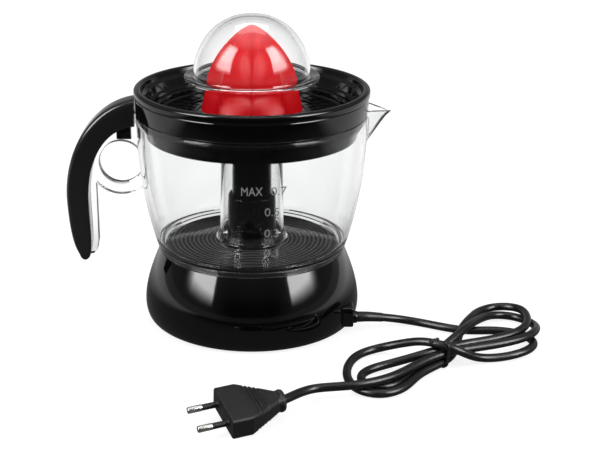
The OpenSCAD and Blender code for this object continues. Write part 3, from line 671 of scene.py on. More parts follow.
def rounded(corners: Sequence[Sequence[float]], steps: int = 5) -> list[Point2]:
    """Rounds the corners of a closed outline.

    Args:
        corners: Points (r, z), or (r, z, radius) where a corner is rounded.
        steps: Chords in each rounded corner.

    Returns:
        The outline's points.
    """
    outline: list[Point2] = []
    count = len(corners)
    for i, corner in enumerate(corners):
        here = Vector(corner[:2])
        if len(corner) < 3 or corner[2] <= 0:
            outline.append((here.x, here.y))
            continue
        before = Vector(corners[i - 1][:2]) - here
        after = Vector(corners[(i + 1) % count][:2]) - here
        opening = before.angle(after)
        reach = corner[2] / math.tan(opening / 2) if opening > 0.02 else 0
        reach = min(reach, 0.48 * before.length, 0.48 * after.length)
        start, end = here + before.normalized() * reach, here + after.normalized() * reach
        outline += [curve_point((start, here, end), k / steps) for k in range(steps + 1)]
    return outline


class Mould:
    """Gathers rings of points into one mesh."""

    def __init__(self) -> None:
        """Starts an empty mesh."""
        self.mesh = bmesh.new()

    def ring(self, points: Iterable[Sequence[float]]) -> list[bmesh.types.BMVert]:
        """Adds vertices at points in millimetres.

        Args:
            points: The points.

        Returns:
            The vertices, in order.
        """
        return [self.mesh.verts.new([c * MM for c in p]) for p in points]

    def skin(self, rings: Sequence[list], around: bool = True, along: bool = False) -> "Mould":
        """Joins rings with faces.

        Args:
            rings: Rings of as many vertices each.
            around: Whether each ring closes.
            along: Whether the last ring joins the first.

        Returns:
            The mould.
        """
        pairs = list(zip(rings, rings[1:])) + ([(rings[-1], rings[0])] if along else [])
        for a, b in pairs:
            for i in range(len(a) if around else len(a) - 1):
                j = (i + 1) % len(a)
                self.mesh.faces.new((a[i], a[j], b[j], b[i]))
        return self

    def tube(self, rings: Sequence[list]) -> "Mould":
        """Joins rings with faces and closes both ends.

        Args:
            rings: Rings of as many vertices each.

        Returns:
            The mould.
        """
        self.skin(rings)
        self.mesh.faces.new(rings[0])
        self.mesh.faces.new(rings[-1])
        return self

    def lathe(
        self,
        outline: Sequence[Point2],
        turns: int | Sequence[float] = 192,
        shape: Callable[[int, float, float, float], Point2] | None = None,
    ) -> "Mould":
        """Turns a closed outline about the Z axis.

        Args:
            outline: Its points (r, z).
            turns: Steps in the turn, or the angles themselves, in radians.
            shape: Moves a point, given its place in the outline, r, z and the angle.

        Returns:
            The mould.
        """
        angles = turn_angles(turns) if isinstance(turns, int) else turns
        rings = []
        for a in angles:
            placed = []
            for i, (r, z) in enumerate(outline):
                if shape:
                    r, z = shape(i, r, z, a)
                placed.append((r * math.cos(a), r * math.sin(a), z))
            rings.append(self.ring(placed))
        return self.skin(rings, along=True)

    def box(self, low: Point3, high: Point3) -> "Mould":
        """Adds a block between two corners.

        Args:
            low: Its lower left front corner.
            high: The corner across from it.

        Returns:
            The mould.
        """
        (x0, y0, z0), (x1, y1, z1) = low, high
        rings = [self.ring([(x0, y0, z), (x1, y0, z), (x1, y1, z), (x0, y1, z)]) for z in (z0, z1)]
        return self.tube(rings)

    def move(self, matrix: Matrix) -> "Mould":
        """Moves what is in the mould; the matrix's shift is in metres."""
        bmesh.ops.transform(self.mesh, matrix=matrix, verts=self.mesh.verts)
        return self

    def cast(
        self,
        name: str,
        body: str,
        finish: Finish,
        stands_for: Sequence[str] = (),
        sharp: float = 35.0,
        bevel: float = 0.0,
    ) -> bpy.types.Object:
        """Makes the piece.

        Args:
            name: The piece's name.
            body: The body it rides on.
            finish: Its finish.
            stands_for: CAD nodes that it replaces.
            sharp: Faces that meet at more than this angle, in degrees, keep a sharp edge.
            bevel: Width of the bevel on those edges, in millimetres.

        Returns:
            The piece.
        """
        bmesh.ops.remove_doubles(self.mesh, verts=self.mesh.verts, dist=1e-7)
        bmesh.ops.recalc_face_normals(self.mesh, faces=self.mesh.faces)
        mesh = bpy.data.meshes.new(name)
        self.mesh.to_mesh(mesh)
        self.mesh.free()
        return place_piece(name, mesh, body, finish, stands_for, sharp, bevel)


def place_piece(
    name: str,
    data: bpy.types.Mesh | bpy.types.Curve,
    body: str,
    finish: Finish,
    stands_for: Sequence[str] = (),
    sharp: float = 35.0,
    bevel: float = 0.0,
) -> bpy.types.Object:
    """Links a mesh or curve as a piece, with its finish and body.

    Args:
        name: The piece's name.
        data: Its mesh or curve.
        body: The body it rides on.
        finish: Its finish.
        stands_for: CAD nodes that it replaces.
        sharp: The angle over which an edge stays sharp, in degrees.
        bevel: Width of the bevel on sharp edges, in millimetres.

    Returns:
        The piece.
    """
    piece = bpy.data.objects.new(name, data)
    bpy.context.scene.collection.objects.link(piece)
    data.materials.append(finish.material())
    if isinstance(data, bpy.types.Mesh):
        smooth_shade(data, sharp)
        if bevel:
            add_bevel(piece, bevel, sharp)
    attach(piece, body)
    if stands_for:
        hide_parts(*stands_for)
    log.info("%s rides on %s", name, body)
    return piece


def mesh_of(curve: bpy.types.Curve) -> bpy.types.Mesh:
    """Turns a curve into a mesh.

    Args:
        curve: The curve.

    Returns:
        The mesh.
    """
    helper = bpy.data.objects.new("helper", curve)
    bpy.context.scene.collection.objects.link(helper)
    mesh = bpy.data.meshes.new_from_object(helper.evaluated_get(bpy.context.evaluated_depsgraph_get()))
    bpy.data.objects.remove(helper)
    return mesh


def smooth_shade(mesh: bpy.types.Mesh, sharp: float) -> None:
    """Shades a mesh smooth, but for edges over an angle in degrees."""
    mesh.shade_smooth()
    mesh.set_sharp_from_angle(angle=math.radians(sharp))


def add_bevel(piece: bpy.types.Object, width: float, sharp: float) -> None:
    """Adds a bevel of a width in millimetres to edges over an angle in degrees.

    Args:
        piece: The piece.
        width: Width of the bevel, in millimetres.
        sharp: The angle over which an edge is bevelled, in degrees.
    """
    bevel = piece.modifiers.new("edges", "BEVEL")
    bevel.width = width * MM
    bevel.segments = 3
    bevel.limit_method = "ANGLE"
    bevel.angle_limit = math.radians(sharp)
    bevel.harden_normals = True


# --------------------------------------------------------------------------- base


@dataclass
class Base:
    """The motor base: belly, ribbed deck, tower, feet and what can be seen under it."""

    foot_r: float = 71.6
    belly_r: float = 75.7
    top_r: float = 64.6
    belly_z: float = 12.0
    shoulder_z: float = 26.0
    foot_z: float = 1.2
    wall: float = 2.4
    deck_r: float = 60.8
    tower_r: float = 17.1
    tower_wall: float = 4.0
    nose_r: float = 9.4
    nose_z: float = 94.0
    bore_r: float = 7.0
    body: str = "base"

    def belly(self) -> list[Point2]:
        """The outside of the base from its lower edge to its upper edge.

        Returns:
            The points (r, z).
        """
        swell, rise = self.belly_r - self.foot_r, self.belly_z - self.foot_z
        low = [
            (self.foot_r + swell * math.sin(a), self.belly_z - rise * math.cos(a))
            for a in (math.radians(90 * i / 12) for i in range(12))
        ]
        top = (self.top_r, LEVELS.base_top)
        return low + curve_points(((self.belly_r, self.belly_z), (self.belly_r, self.shoulder_z), top), 28)

    def deck(self) -> list[tuple[float, ...]]:
        """The ribbed deck, from its edge to the foot of the tower, as corners.

        Returns:
            The corners (r, z, radius).
        """
        rings, z = DECK_RINGS, LEVELS.deck
        flank, edge = 0.2 * rings.pitch, (1 - rings.crest_share) * rings.pitch
        corners: list[tuple[float, ...]] = []
        for i in range(rings.count):
            r = rings.outer - rings.pitch * i
            corners += [
                (r, z, 0.5),
                (r - flank, z - rings.depth, 0.4),
                (r - edge + flank, z - rings.depth, 0.4),
                (r - edge, z, 0.5),
            ]
        return corners

    def build(self) -> None:
        """Builds the base's pieces."""
        z = LEVELS.deck
        corners = [(self.foot_r - self.wall, self.foot_z)]
        corners += self.belly()
        corners += [
            (self.top_r - 0.9, LEVELS.base_top, 0.3),
            (self.deck_r + 0.3, LEVELS.base_top, 0.5),
            (self.deck_r, z, 1.1),
        ]
        corners += self.deck()
        corners += [
            (self.tower_r + 6.5, z, 1.5),
            (self.tower_r, z + 0.8, 3.2),
            (self.tower_r - 0.4, LEVELS.tower_top, 1.3),
            (self.nose_r, LEVELS.tower_top, 0.8),
            (self.nose_r, self.nose_z, 0.7),
            (self.bore_r, self.nose_z),
            (self.bore_r, LEVELS.tower_top - self.tower_wall),
            (self.tower_r - self.tower_wall, LEVELS.tower_top - self.tower_wall),
            (self.tower_r - self.tower_wall, z - self.tower_wall),
            (self.top_r - 6, z - self.tower_wall),
            (self.belly_r - self.wall - 2, self.shoulder_z),
            (self.belly_r - self.wall - 0.6, self.belly_z),
        ]
        shell = Mould().lathe(rounded(corners, 4), 256)
        shell.cast("base_shell", self.body, BLACK_RIBBED, ["base_housing"])
        self.dress()

    def dress(self) -> None:
        """Gives the base's other nodes their finishes."""
        finish_nodes(
            {
                BLACK_MATT: ["base_plate", "switch_body"],
                RUBBER: ["rubber_feet"],
                STEEL: ["base_screws", "gear_plate", "plate_screws", "motor_can", "motor_lid", "gear_pin",
                        "return_spring"],
                COPPER: ["coil_bobbin"],
                BRONZE: ["tower_bush"],
            },
            bevel=0.25,
        )


def finish_nodes(plan: dict[Finish, Sequence[str]], bevel: float = 0.0) -> None:
    """Gives CAD nodes their finishes.

    Args:
        plan: Node names by finish.
        bevel: Width of a bevel on their edges, in millimetres.
    """
    for finish, names in plan.items():
        for name in names:
            node = bpy.data.objects[name]
            for place in node.material_slots:
                place.link = "OBJECT"
                place.material = finish.material()
            if bevel:
                add_bevel(node, bevel, 40.0)
            log.info("%s keeps its solid, in %s", name, finish.name)


@dataclass
class DriveTrain:
    """The gears, rotor, shaft, sleeve and spindle head."""

    bevel: float = 0.2

    def build(self) -> None:
        """Finishes the nodes of the drive."""
        finish_nodes(
            {
                ACETAL: ["rotor_pinion", "idler_gear", "output_gear"],
                MAGNET: ["rotor_magnet"],
                STEEL: ["drive_shaft", "sleeve_clip"],
                RED_PLASTIC: ["switch_plunger"],
                BLACK_GLOSS: ["drive_sleeve", "spindle_head"],
            },
            bevel=self.bevel,
        )


# --------------------------------------------------------------------------- jug and handle


class Face(Enum):
    """Which face of the jug's wall a point belongs to."""

    PLAIN = 0
    OUTSIDE = 1
    INSIDE = 2


@dataclass
class Jug:
    """The clear jug with its chimney and spout, and the marks on its wall."""

    foot_r: float = 64.9
    rim_r: float = 79.0
    step_r: float = 76.9
    bulge_z: float = 93.0
    wall: float = 2.2
    floor_under: float = 55.1
    chimney_r: float = 19.0
    chimney_top: float = 125.1
    spout_x: float = 95.4
    spout_w: float = 31.0
    spout_low: float = 126.5
    spout_dip: float = 3.4
    mark_height: float = 5.6
    mark_stands: float = 0.16
    mark_roots: float = 0.12
    marks: tuple[tuple[str, float, float, float], ...] = (
        ("MAX", 115.8, -5.0, 5.0),
        ("0.7", 115.8, 9.0, 16.4),
        ("0.5", 101.3, 6.2, 13.2),
        ("0.3", 86.0, 6.3, 13.3),
        ("0.1", 71.0, 6.4, 13.8),
    )
    body: str = "jug"
    faces: list[Face] = field(default_factory=list)

    def outside(self, inset: float = 0.0) -> list[Point2]:
        """The wall's outline from foot to seam, moved in by inset.

        Args:
            inset: How far the outline moves in.

        Returns:
            The points (r, z).
        """
        control = (
            (self.foot_r - inset, LEVELS.jug_foot),
            (self.rim_r - inset, self.bulge_z),
            (self.rim_r - inset, LEVELS.seam),
        )
        return curve_points(control, 40)

    def radius_at(self, z: float) -> float:
        """The outside radius at a height.

        Args:
            z: The height.

        Returns:
            The radius.
        """
        wall = self.outside()
        for (r0, z0), (r1, z1) in zip(wall, wall[1:]):
            if z0 <= z <= z1:
                return r0 + (r1 - r0) * (z - z0) / (z1 - z0)
        return self.rim_r

    def outline(self) -> list[Point2]:
        """The jug's whole closed outline, with the face of each point noted.

        Returns:
            The points (r, z).
        """
        top = self.chimney_top
        low = [
            (self.chimney_r, top, 0.6),
            (self.chimney_r, 81.1),
            (self.chimney_r + 2.4, 61.1, 4),
            (self.chimney_r + 3.6, self.floor_under, 0.8),
            (self.foot_r - 2.6, self.floor_under, 0.6),
            (self.foot_r - 2.6, LEVELS.jug_foot, 0.4),
            (self.foot_r, LEVELS.jug_foot, 0.5),
        ]
        rim = [
            (self.step_r, LEVELS.seam, 0.2),
            (self.step_r, LEVELS.rim, 0.6),
            (self.step_r - self.wall, LEVELS.rim, 0.6),
            (self.step_r - self.wall, LEVELS.seam + 0.8, 0.8),
        ]
        lowest, highest = LEVELS.jug_floor + 3, LEVELS.seam - 0.2
        inner = [p for p in reversed(self.outside(self.wall)) if lowest < p[1] < highest]
        floor = [
            (self.foot_r - self.wall + 1.6, LEVELS.jug_floor, 3.5),
            (self.chimney_r + 6, LEVELS.jug_floor, 1.5),
            (self.chimney_r + 3.4, LEVELS.jug_floor + 6, 5),
            (self.chimney_r + 2, top, 0.6),
        ]
        points, self.faces = [], []
        groups = ((low, Face.PLAIN), (self.outside()[1:], Face.OUTSIDE), (rim[:2], Face.OUTSIDE),
                  (rim[2:], Face.INSIDE), (inner, Face.INSIDE), (floor, Face.PLAIN))
        corners = [c for group, _ in groups for c in group]
        kinds = [kind for group, kind in groups for _ in group]
        for i, corner in enumerate(corners):
            trio = (corners[i - 1], corner, corners[(i + 1) % len(corners)])
            made = rounded([trio[0][:2], trio[1], trio[2][:2]], 4)[1:-1]
            points += made
            self.faces += [kinds[i]] * len(made)
        return points

    def spout(self, i: int, r: float, z: float, angle: float) -> Point2:
        """Draws the wall out into the spout.

        Args:
            i: The point's place in the outline.
            r: Its radius.
            z: Its height.
            angle: The angle about the axis.

        Returns:
            The radius and height with the spout.
        """
        face = self.faces[i]
        if face is Face.PLAIN or z <= self.spout_low:
            return r, z
        share = (z - self.spout_low) / (LEVELS.rim - self.spout_low)
        inset = self.wall if face is Face.INSIDE else 0.0
        half = max(self.spout_w / 2 * min(1.0, share**0.6) - inset, 1.0)
        tip = self.rim_r + (self.spout_x - self.rim_r) * share**0.9 - 1.7 * inset
        root = math.sqrt(self.rim_r**2 - half**2) - inset
        side = abs(math.sin(angle))
        if math.cos(angle) < 0.9 or tip <= root:
            return r, z
        drawn = tip / (math.cos(angle) + (tip - root) * side / half)
        drawn = min(drawn, (tip - 0.7) / max(math.cos(angle), 0.9))
        if drawn <= r:
            return r, z
        blend = (drawn - r) / (self.spout_x - self.rim_r)
        return drawn, z - self.spout_dip * min(1.0, blend) * share**3

    def angles(self) -> list[float]:
        """Angles of the turn, closer together at the spout.

        Returns:
            The angles, in radians.
        """
        reach = math.asin((self.spout_w / 2 + 1.5) / self.rim_r)
        near = [reach * (k / 36) for k in range(-36, 36)]
        rest = [reach + (FULL_TURN - 2 * reach) * k / 220 for k in range(220)]
        return near + rest

    def build(self) -> None:
        """Builds the jug and its marks."""
        shell = Mould().lathe(self.outline(), self.angles(), self.spout)
        shell.cast("jug_shell", self.body, CLEAR, ["jug", "jug_chimney"], sharp=40)
        for text, z, start, end in self.marks:
            self.mark(text, z, start, end)

    def mark(self, text: str, z: float, start: float, end: float) -> None:
        """Stands raised characters on the wall.

        Args:
            text: The characters.
            z: The height of their middle.
            start: Where they begin, in degrees from the front towards the spout.
            end: Where they end.
        """
        lettering = bpy.data.curves.new(f"mark_{text}", "FONT")
        lettering.body = text
        lettering.extrude = 0.02
        lettering.resolution_u = 6
        mesh = mesh_of(lettering)
        xs = [v.co.x for v in mesh.vertices]
        ys = [v.co.y for v in mesh.vertices]
        for v in mesh.vertices:
            angle = math.radians(start + (end - start) * (v.co.x - min(xs)) / (max(xs) - min(xs)))
            level = z + self.mark_height * ((v.co.y - min(ys)) / (max(ys) - min(ys)) - 0.5)
            r = self.radius_at(level) + (self.mark_stands if v.co.z > 0 else -self.mark_roots)
            v.co = (r * math.sin(angle) * MM, -r * math.cos(angle) * MM, level * MM)
        place_piece(f"mark_{text}", mesh, self.body, MARK_GREY, sharp=30)


@dataclass
class Handle:
    """The handle: a clear web with a finger ring, under a black cover."""

    reach: float = 128.3
    width: float = 21.0
    web_t: float = 8.0
    ring_x: float = -90.0
    ring_z: float = 112.0
    ring_in: float = 15.0
    ring_out: float = 23.0
    tip_z: float = 41.0
    root_x: float = -79.5
    tongue: tuple[Point2, Point2] = ((-92.5, 128.6), (-82.5, 142.5))
    tongue_half: float = 3.0
    cover_in: float = 15.3
    web_in: float = 20.7
    web_root_x: float = -74.5
    web_edge: float = 0.7
    soft: float = 4.2
    crisp: float = 1.3
    narrows: float = 0.28
    body: str = "jug"

    def edges(self) -> tuple[list[Point2], list[Point2]]:
        """The cover's outer and inner edge, in the handle's plane, point against point.

        Returns:
            The outer edge and the inner edge.
        """
        x, tip, inside = -self.reach, self.tip_z, self.cover_in - self.reach
        top, arm = LEVELS.bowl_top - 8, LEVELS.seam - 8.5
        outer = curve_points(((self.root_x, top), (x + 17, top - 4), (x - 1.5, 118), (x, 84)), 40)
        outer += curve_points(((x, 84), (x + 0.8, 62), (x + 3.4, tip + 9), (x + 6.8, tip + 4)), 20)[1:]
        inner = curve_points(((self.root_x, arm), (x + 28.3, arm - 1.5), (x + 16.3, 116), (inside, 88)), 40)
        low = ((inside, 88), (inside, 66), (x + 16.9, tip + 14), (x + 14.6, tip + 4.6))
        inner += curve_points(low, 20)[1:]
        start, end = Vector(outer[-1]), Vector(inner[-1])
        middle, half = (start + end) / 2, (start - end) / 2
        up = Vector((-half.y, half.x)) * math.copysign(1, half.x)
        for turn in (math.radians(a) for a in (20, 40, 60, 78)):
            outer.append(tuple(middle + half * math.cos(turn) - up * math.sin(turn)))
            inner.append(tuple(middle - half * math.cos(turn) - up * math.sin(turn)))
        return outer, inner

    def section(self, depth: float, share: float) -> list[Point2]:
        """The cover's section, soft on its outer edges and crisp on its inner ones.

        Args:
            depth: From its outer to its inner edge.
            share: Its place along the cover, from 0 to 1.

        Returns:
            The section's points.
        """
        half = self.width / 2 * (1 - self.narrows * share**3)
        soft, crisp = min(self.soft, depth * 0.42), min(self.crisp, depth * 0.3)
        return rounded([(0, -half, soft), (0, half, soft), (depth, half, crisp), (depth, -half, crisp)], 5)

    def cover(self) -> None:
        """Builds the black cover, with the tongue that snaps into the web."""
        outer, inner = self.edges()
        mould, rings = Mould(), []
        for i, (o, q) in enumerate(zip(outer, inner)):
            start, across = Vector(o), Vector(q) - Vector(o)
            way = across.normalized()
            section = self.section(across.length, i / (len(outer) - 1))
            rings.append(mould.ring([(start.x + s * way.x, y, start.y + s * way.y) for s, y in section]))
        mould.tube(rings)
        (x0, z0), (x1, z1) = self.tongue
        mould.box((x0, -self.tongue_half, z0), (x1, self.tongue_half, z1))
        mould.cast("handle_shell", self.body, BLACK_COVER, ["handle_cover"], sharp=50)

    def web_outline(self) -> list[Point2]:
        """The web's outline in the handle's plane, from the jug's wall round the tip to the ring.

        Returns:
            The points (x, z).
        """
        x, tip, inside = -self.reach, self.tip_z, self.web_in - self.reach
        seam = LEVELS.seam
        outline = [(self.web_root_x, seam - 0.6), (-76, seam - 0.6)]
        outline += curve_points(((-76, seam - 0.6), (x + 24, seam - 2), (x + 7, 116), (x + 8, 84)), 24)[1:]
        outline += [(x + 9.5, tip + 14), (x + 11.4, tip + 6), (x + 14, tip + 3.4)]
        outline += [(x + 17, tip + 4), (x + 19.4, tip + 7), (inside, tip + 14)]
        low, high = self.ring_meets()
        return [*outline, (inside, low[1]), *self.ring_arc(low, high), (self.web_root_x, high[1])]

    def web(self) -> None:
        """Builds the clear web with its finger ring."""
        flat = bpy.data.curves.new("web", "CURVE")
        flat.dimensions = "2D"
        flat.fill_mode = "BOTH"
        flat.extrude = (self.web_t / 2 - self.web_edge) * MM
        flat.bevel_depth = self.web_edge * MM
        flat.offset = -self.web_edge * MM
        flat.bevel_resolution = 3
        for points in (self.web_outline(), self.circle(self.ring_in)):
            line = flat.splines.new("POLY")
            line.points.add(len(points) - 1)
            for place, (u, v) in zip(line.points, points):
                place.co = (u * MM, v * MM, 0, 1)
            line.use_cyclic_u = True
        mesh = mesh_of(flat)
        mesh.transform(Matrix.Rotation(math.pi / 2, 4, "X"))
        place_piece("handle_web_clear", mesh, self.body, CLEAR, ["handle_web"], sharp=40)

    def on_circle(self, r: float, angle: float) -> Point2:
        """A point on a circle round the finger ring's centre."""
        return self.ring_x + r * math.cos(angle), self.ring_z + r * math.sin(angle)

    def circle(self, r: float, count: int = 72) -> list[Point2]:
        """Points round the finger ring's centre."""
        return [self.on_circle(r, a) for a in turn_angles(count)]

    def ring_meets(self) -> tuple[Point2, Point2]:
        """Where the ring's outside leaves the web and meets the jug's wall, as points.

        Returns:
            The point on the web and the point on the wall.
        """
        left, right = self.web_in - self.reach, self.web_root_x
        drops = [math.sqrt(self.ring_out**2 - (x - self.ring_x) ** 2) for x in (left, right)]
        return (left, self.ring_z - drops[0]), (right, self.ring_z - drops[1])

    def ring_arc(self, low: Point2, high: Point2) -> list[Point2]:
        """The ring's outside between two of its points, by way of its foot.

        Args:
            low: Where it starts.
            high: Where it ends.

        Returns:
            The points (x, z).
        """
        start = math.atan2(low[1] - self.ring_z, low[0] - self.ring_x)
        end = math.atan2(high[1] - self.ring_z, high[0] - self.ring_x)
        steps = 24
        return [self.on_circle(self.ring_out, start + (end - start) * k / steps) for k in range(steps + 1)]

    def build(self) -> None:
        """Builds the handle's pieces."""
        self.cover()
        self.web()


# --------------------------------------------------------------------------- bowl, sieve, cone, cover


@dataclass
class Bowl:
    """The black bowl that hangs in the jug's rim, with its band and bead."""

    bead_r: float = 80.0
    rim_r: float = 79.0
    step_r: float = 76.9
    sieve_r: float = 67.3
    bottom_r: float = 71.7
    wall: float = 2.2
    hole_r: float = 17.2
    notch_half: float = 17.5
    notch_top: float = 151.8
    body: str = "bowl"
    skirt: list[bool] = field(default_factory=list)

    def outline(self) -> list[Point2]:
        """The bowl's closed outline, with the points of its skirt noted.

        Returns:
            The points (r, z).
        """
        lv = LEVELS
        inner_r = self.step_r - 2.7
        ledge = lv.bowl_bottom + 13
        corners = [
            (self.hole_r, lv.bowl_bottom, 0.5),
            (self.bottom_r, lv.bowl_bottom, 2.2),
            (inner_r, lv.seam - 0.4, 0.5),
            (inner_r, self.notch_top, 0.2),
            (self.step_r - 1.5, self.notch_top, 0.2),
            (self.step_r - 1.5, lv.bowl_top - 3, 0.2),
            (self.step_r, lv.bowl_top - 3, 0.2),
            (self.step_r + 0.5, lv.rim, 0.2),
            (self.step_r + 0.5, lv.band, 0.3),
            (self.rim_r, lv.band, 0.6),
            (self.bead_r - 0.8, lv.bead - 0.6, 0.5),
            (self.bead_r - 1.2, lv.bead, 0.3),
            (self.bead_r, lv.bead + 0.6, 1.0),
            (self.bead_r, lv.bowl_top - 0.4, 1.9),
            (self.bead_r - 4.6, lv.bowl_top, 1.6),
            (self.bead_r - 5.6, lv.bead + 1, 0.8),
            (self.sieve_r + 4.6, lv.bead - 0.6, 0.7),
            (self.sieve_r + 3.4, lv.bead - 6, 0.6),
            (self.sieve_r + 1.2, lv.sieve + 6.4, 0.4),
            (self.sieve_r + 0.5, lv.sieve + 4.4, 0.4),
            (self.sieve_r + 0.5, ledge, 0.3),
            (self.sieve_r - 3.4, ledge, 0.3),
            (self.sieve_r - 3.4, ledge - 1.4, 0.3),
            (self.bottom_r - self.wall + 0.6, ledge - 3.4, 0.3),
            (self.bottom_r - self.wall, lv.bowl_bottom + self.wall, 2),
            (self.hole_r + 2.2, lv.bowl_bottom + self.wall, 0.4),
            (self.hole_r + 2, 134.7, 0.5),
            (self.hole_r, 134.7, 0.5),
        ]
        outline = rounded(corners, 4)
        self.skirt = [self.step_r - 1.6 < r < self.rim_r + 0.7 and z < self.notch_top for r, z in outline]
        return outline

    def notch(self, i: int, r: float, z: float, angle: float) -> Point2:
        """Lifts the skirt over the spout.

        Args:
            i: The point's place in the outline.
            r: Its radius.
            z: Its height.
            angle: The angle about the axis.

        Returns:
            The radius and height with the notch.
        """
        if self.skirt[i] and math.cos(angle) > 0 and abs(r * math.sin(angle)) < self.notch_half:
            return r, max(z, self.notch_top)
        return r, z

    def build(self) -> None:
        """Builds the bowl."""
        edge = math.asin(self.notch_half / self.rim_r)
        angles = turn_angles(240)
        angles += [side + step for side in (edge, FULL_TURN - edge) for step in (-0.001, 0.001)]
        shell = Mould().lathe(self.outline(), sorted(angles), self.notch)
        shell.cast("bowl_shell", self.body, BLACK_GLOSS, ["juice_bowl"])
        finish_nodes({BLACK_GLOSS: ["sieve"]}, bevel=0.2)


@dataclass
class Cone:
    """The red fluted cone."""

    base_r: float = 35.0
    height: float = 56.8
    ribs: int = 9
    flute: float = 3.1
    shoulder: float = 0.26
    taper: float = 0.1
    hollow_r: float = 29.6
    body: str = "reamer"

    def profile(self, f: float) -> float:
        """The ribs' radius at a share of the height.

        Args:
            f: The share of the height.

        Returns:
            The radius.
        """
        if f < self.shoulder:
            return self.base_r * (1 - self.taper * f / self.shoulder)
        over = (f - self.shoulder) / (1 - self.shoulder)
        return self.base_r * (1 - self.taper) * (1 - over**1.75) ** 0.72

    def radius(self, f: float, angle: float) -> float:
        """The radius at a share of the height and an angle.

        Args:
            f: The share of the height.
            angle: The angle about the axis.

        Returns:
            The radius.
        """
        r = self.profile(f)
        wave = abs(math.sin(self.ribs * (angle + math.pi / 2) / 2)) ** 0.7
        return max(r - self.flute * min(1, r / 12) * wave * min(1, 0.25 + f * 3), 0.4)

    def build(self) -> None:
        """Builds the cone."""
        mould, around, rows = Mould(), turn_angles(self.ribs * 24), 56

        def ring(radii: Sequence[float], z: float) -> list[bmesh.types.BMVert]:
            """A ring at a height over the cone's foot, with its radius at each angle."""
            level = LEVELS.cone + z
            return mould.ring([(r * math.cos(a), r * math.sin(a), level) for r, a in zip(radii, around)])

        shares = [min(math.sin(math.pi / 2 * i / rows), 0.9995) for i in range(rows + 1)]
        rings = [ring([self.radius(f, a) for a in around], self.height * f) for f in shares]
        hollow = ((self.hollow_r, 0), (28.4, 9), (21, 28))
        inside = [ring([r] * len(around), z) for r, z in hollow]
        mould.skin(inside[::-1] + rings)
        mould.mesh.faces.new(rings[-1])
        mould.mesh.faces.new(inside[-1])
        mould.cast("cone_shell", self.body, RED_PLASTIC, ["cone"], sharp=50)


@dataclass
class DustCover:
    """The clear dome over the cone."""

    dome_r: float = 40.0
    flange_r: float = 45.8
    height: float = 43.0
    wall: float = 1.8
    roundness: float = 0.92
    body: str = "cover"

    def dome(self, r: float, h: float) -> list[Point2]:
        """The dome's outline from its foot to its top."""
        angles = [math.pi / 2 * i / 40 for i in range(41)]
        return [(r * math.cos(a) ** self.roundness, LEVELS.cover + h * math.sin(a)) for a in angles]

    def build(self) -> None:
        """Builds the cover."""
        z = LEVELS.cover
        outside = [p for p in self.dome(self.dome_r, self.height) if p[1] > z + 3]
        inside = [p for p in self.dome(self.dome_r - self.wall, self.height - self.wall) if p[1] > z + 0.5]
        corners = [
            (self.dome_r - self.wall, z, 0.3),
            (self.flange_r, z, 0.5),
            (self.flange_r, z + 2, 0.8),
            (self.dome_r + 0.4, z + 2, 0.8),
        ]
        corners += outside + inside[::-1]
        shell = Mould().lathe(rounded(corners, 4), 192)
        shell.cast("cover_shell", self.body, CLEAR_COVER, ["dust_cover"], sharp=40)


# --------------------------------------------------------------------------- cord and plug


def spline_points(control: Sequence[Point3], steps: int) -> list[Vector]:
    """Points along a cubic B-spline that starts and ends at its outer control points.

    Args:
        control: Its control points.
        steps: Points for each stretch.

    Returns:
        The points.
    """
    knots = [control[0]] * 2 + list(control) + [control[-1]] * 2
    line = []
    for stretch in zip(knots, knots[1:], knots[2:], knots[3:]):
        for k in range(steps):
            t = k / steps
            weights = (
                (1 - t) ** 3 / 6,
                (3 * t**3 - 6 * t**2 + 4) / 6,
                (-3 * t**3 + 3 * t**2 + 3 * t + 1) / 6,
                t**3 / 6,
            )
            line.append(sum((Vector(p) * w for p, w in zip(stretch, weights)), Vector((0, 0, 0))))
    return line + [Vector(control[-1])]


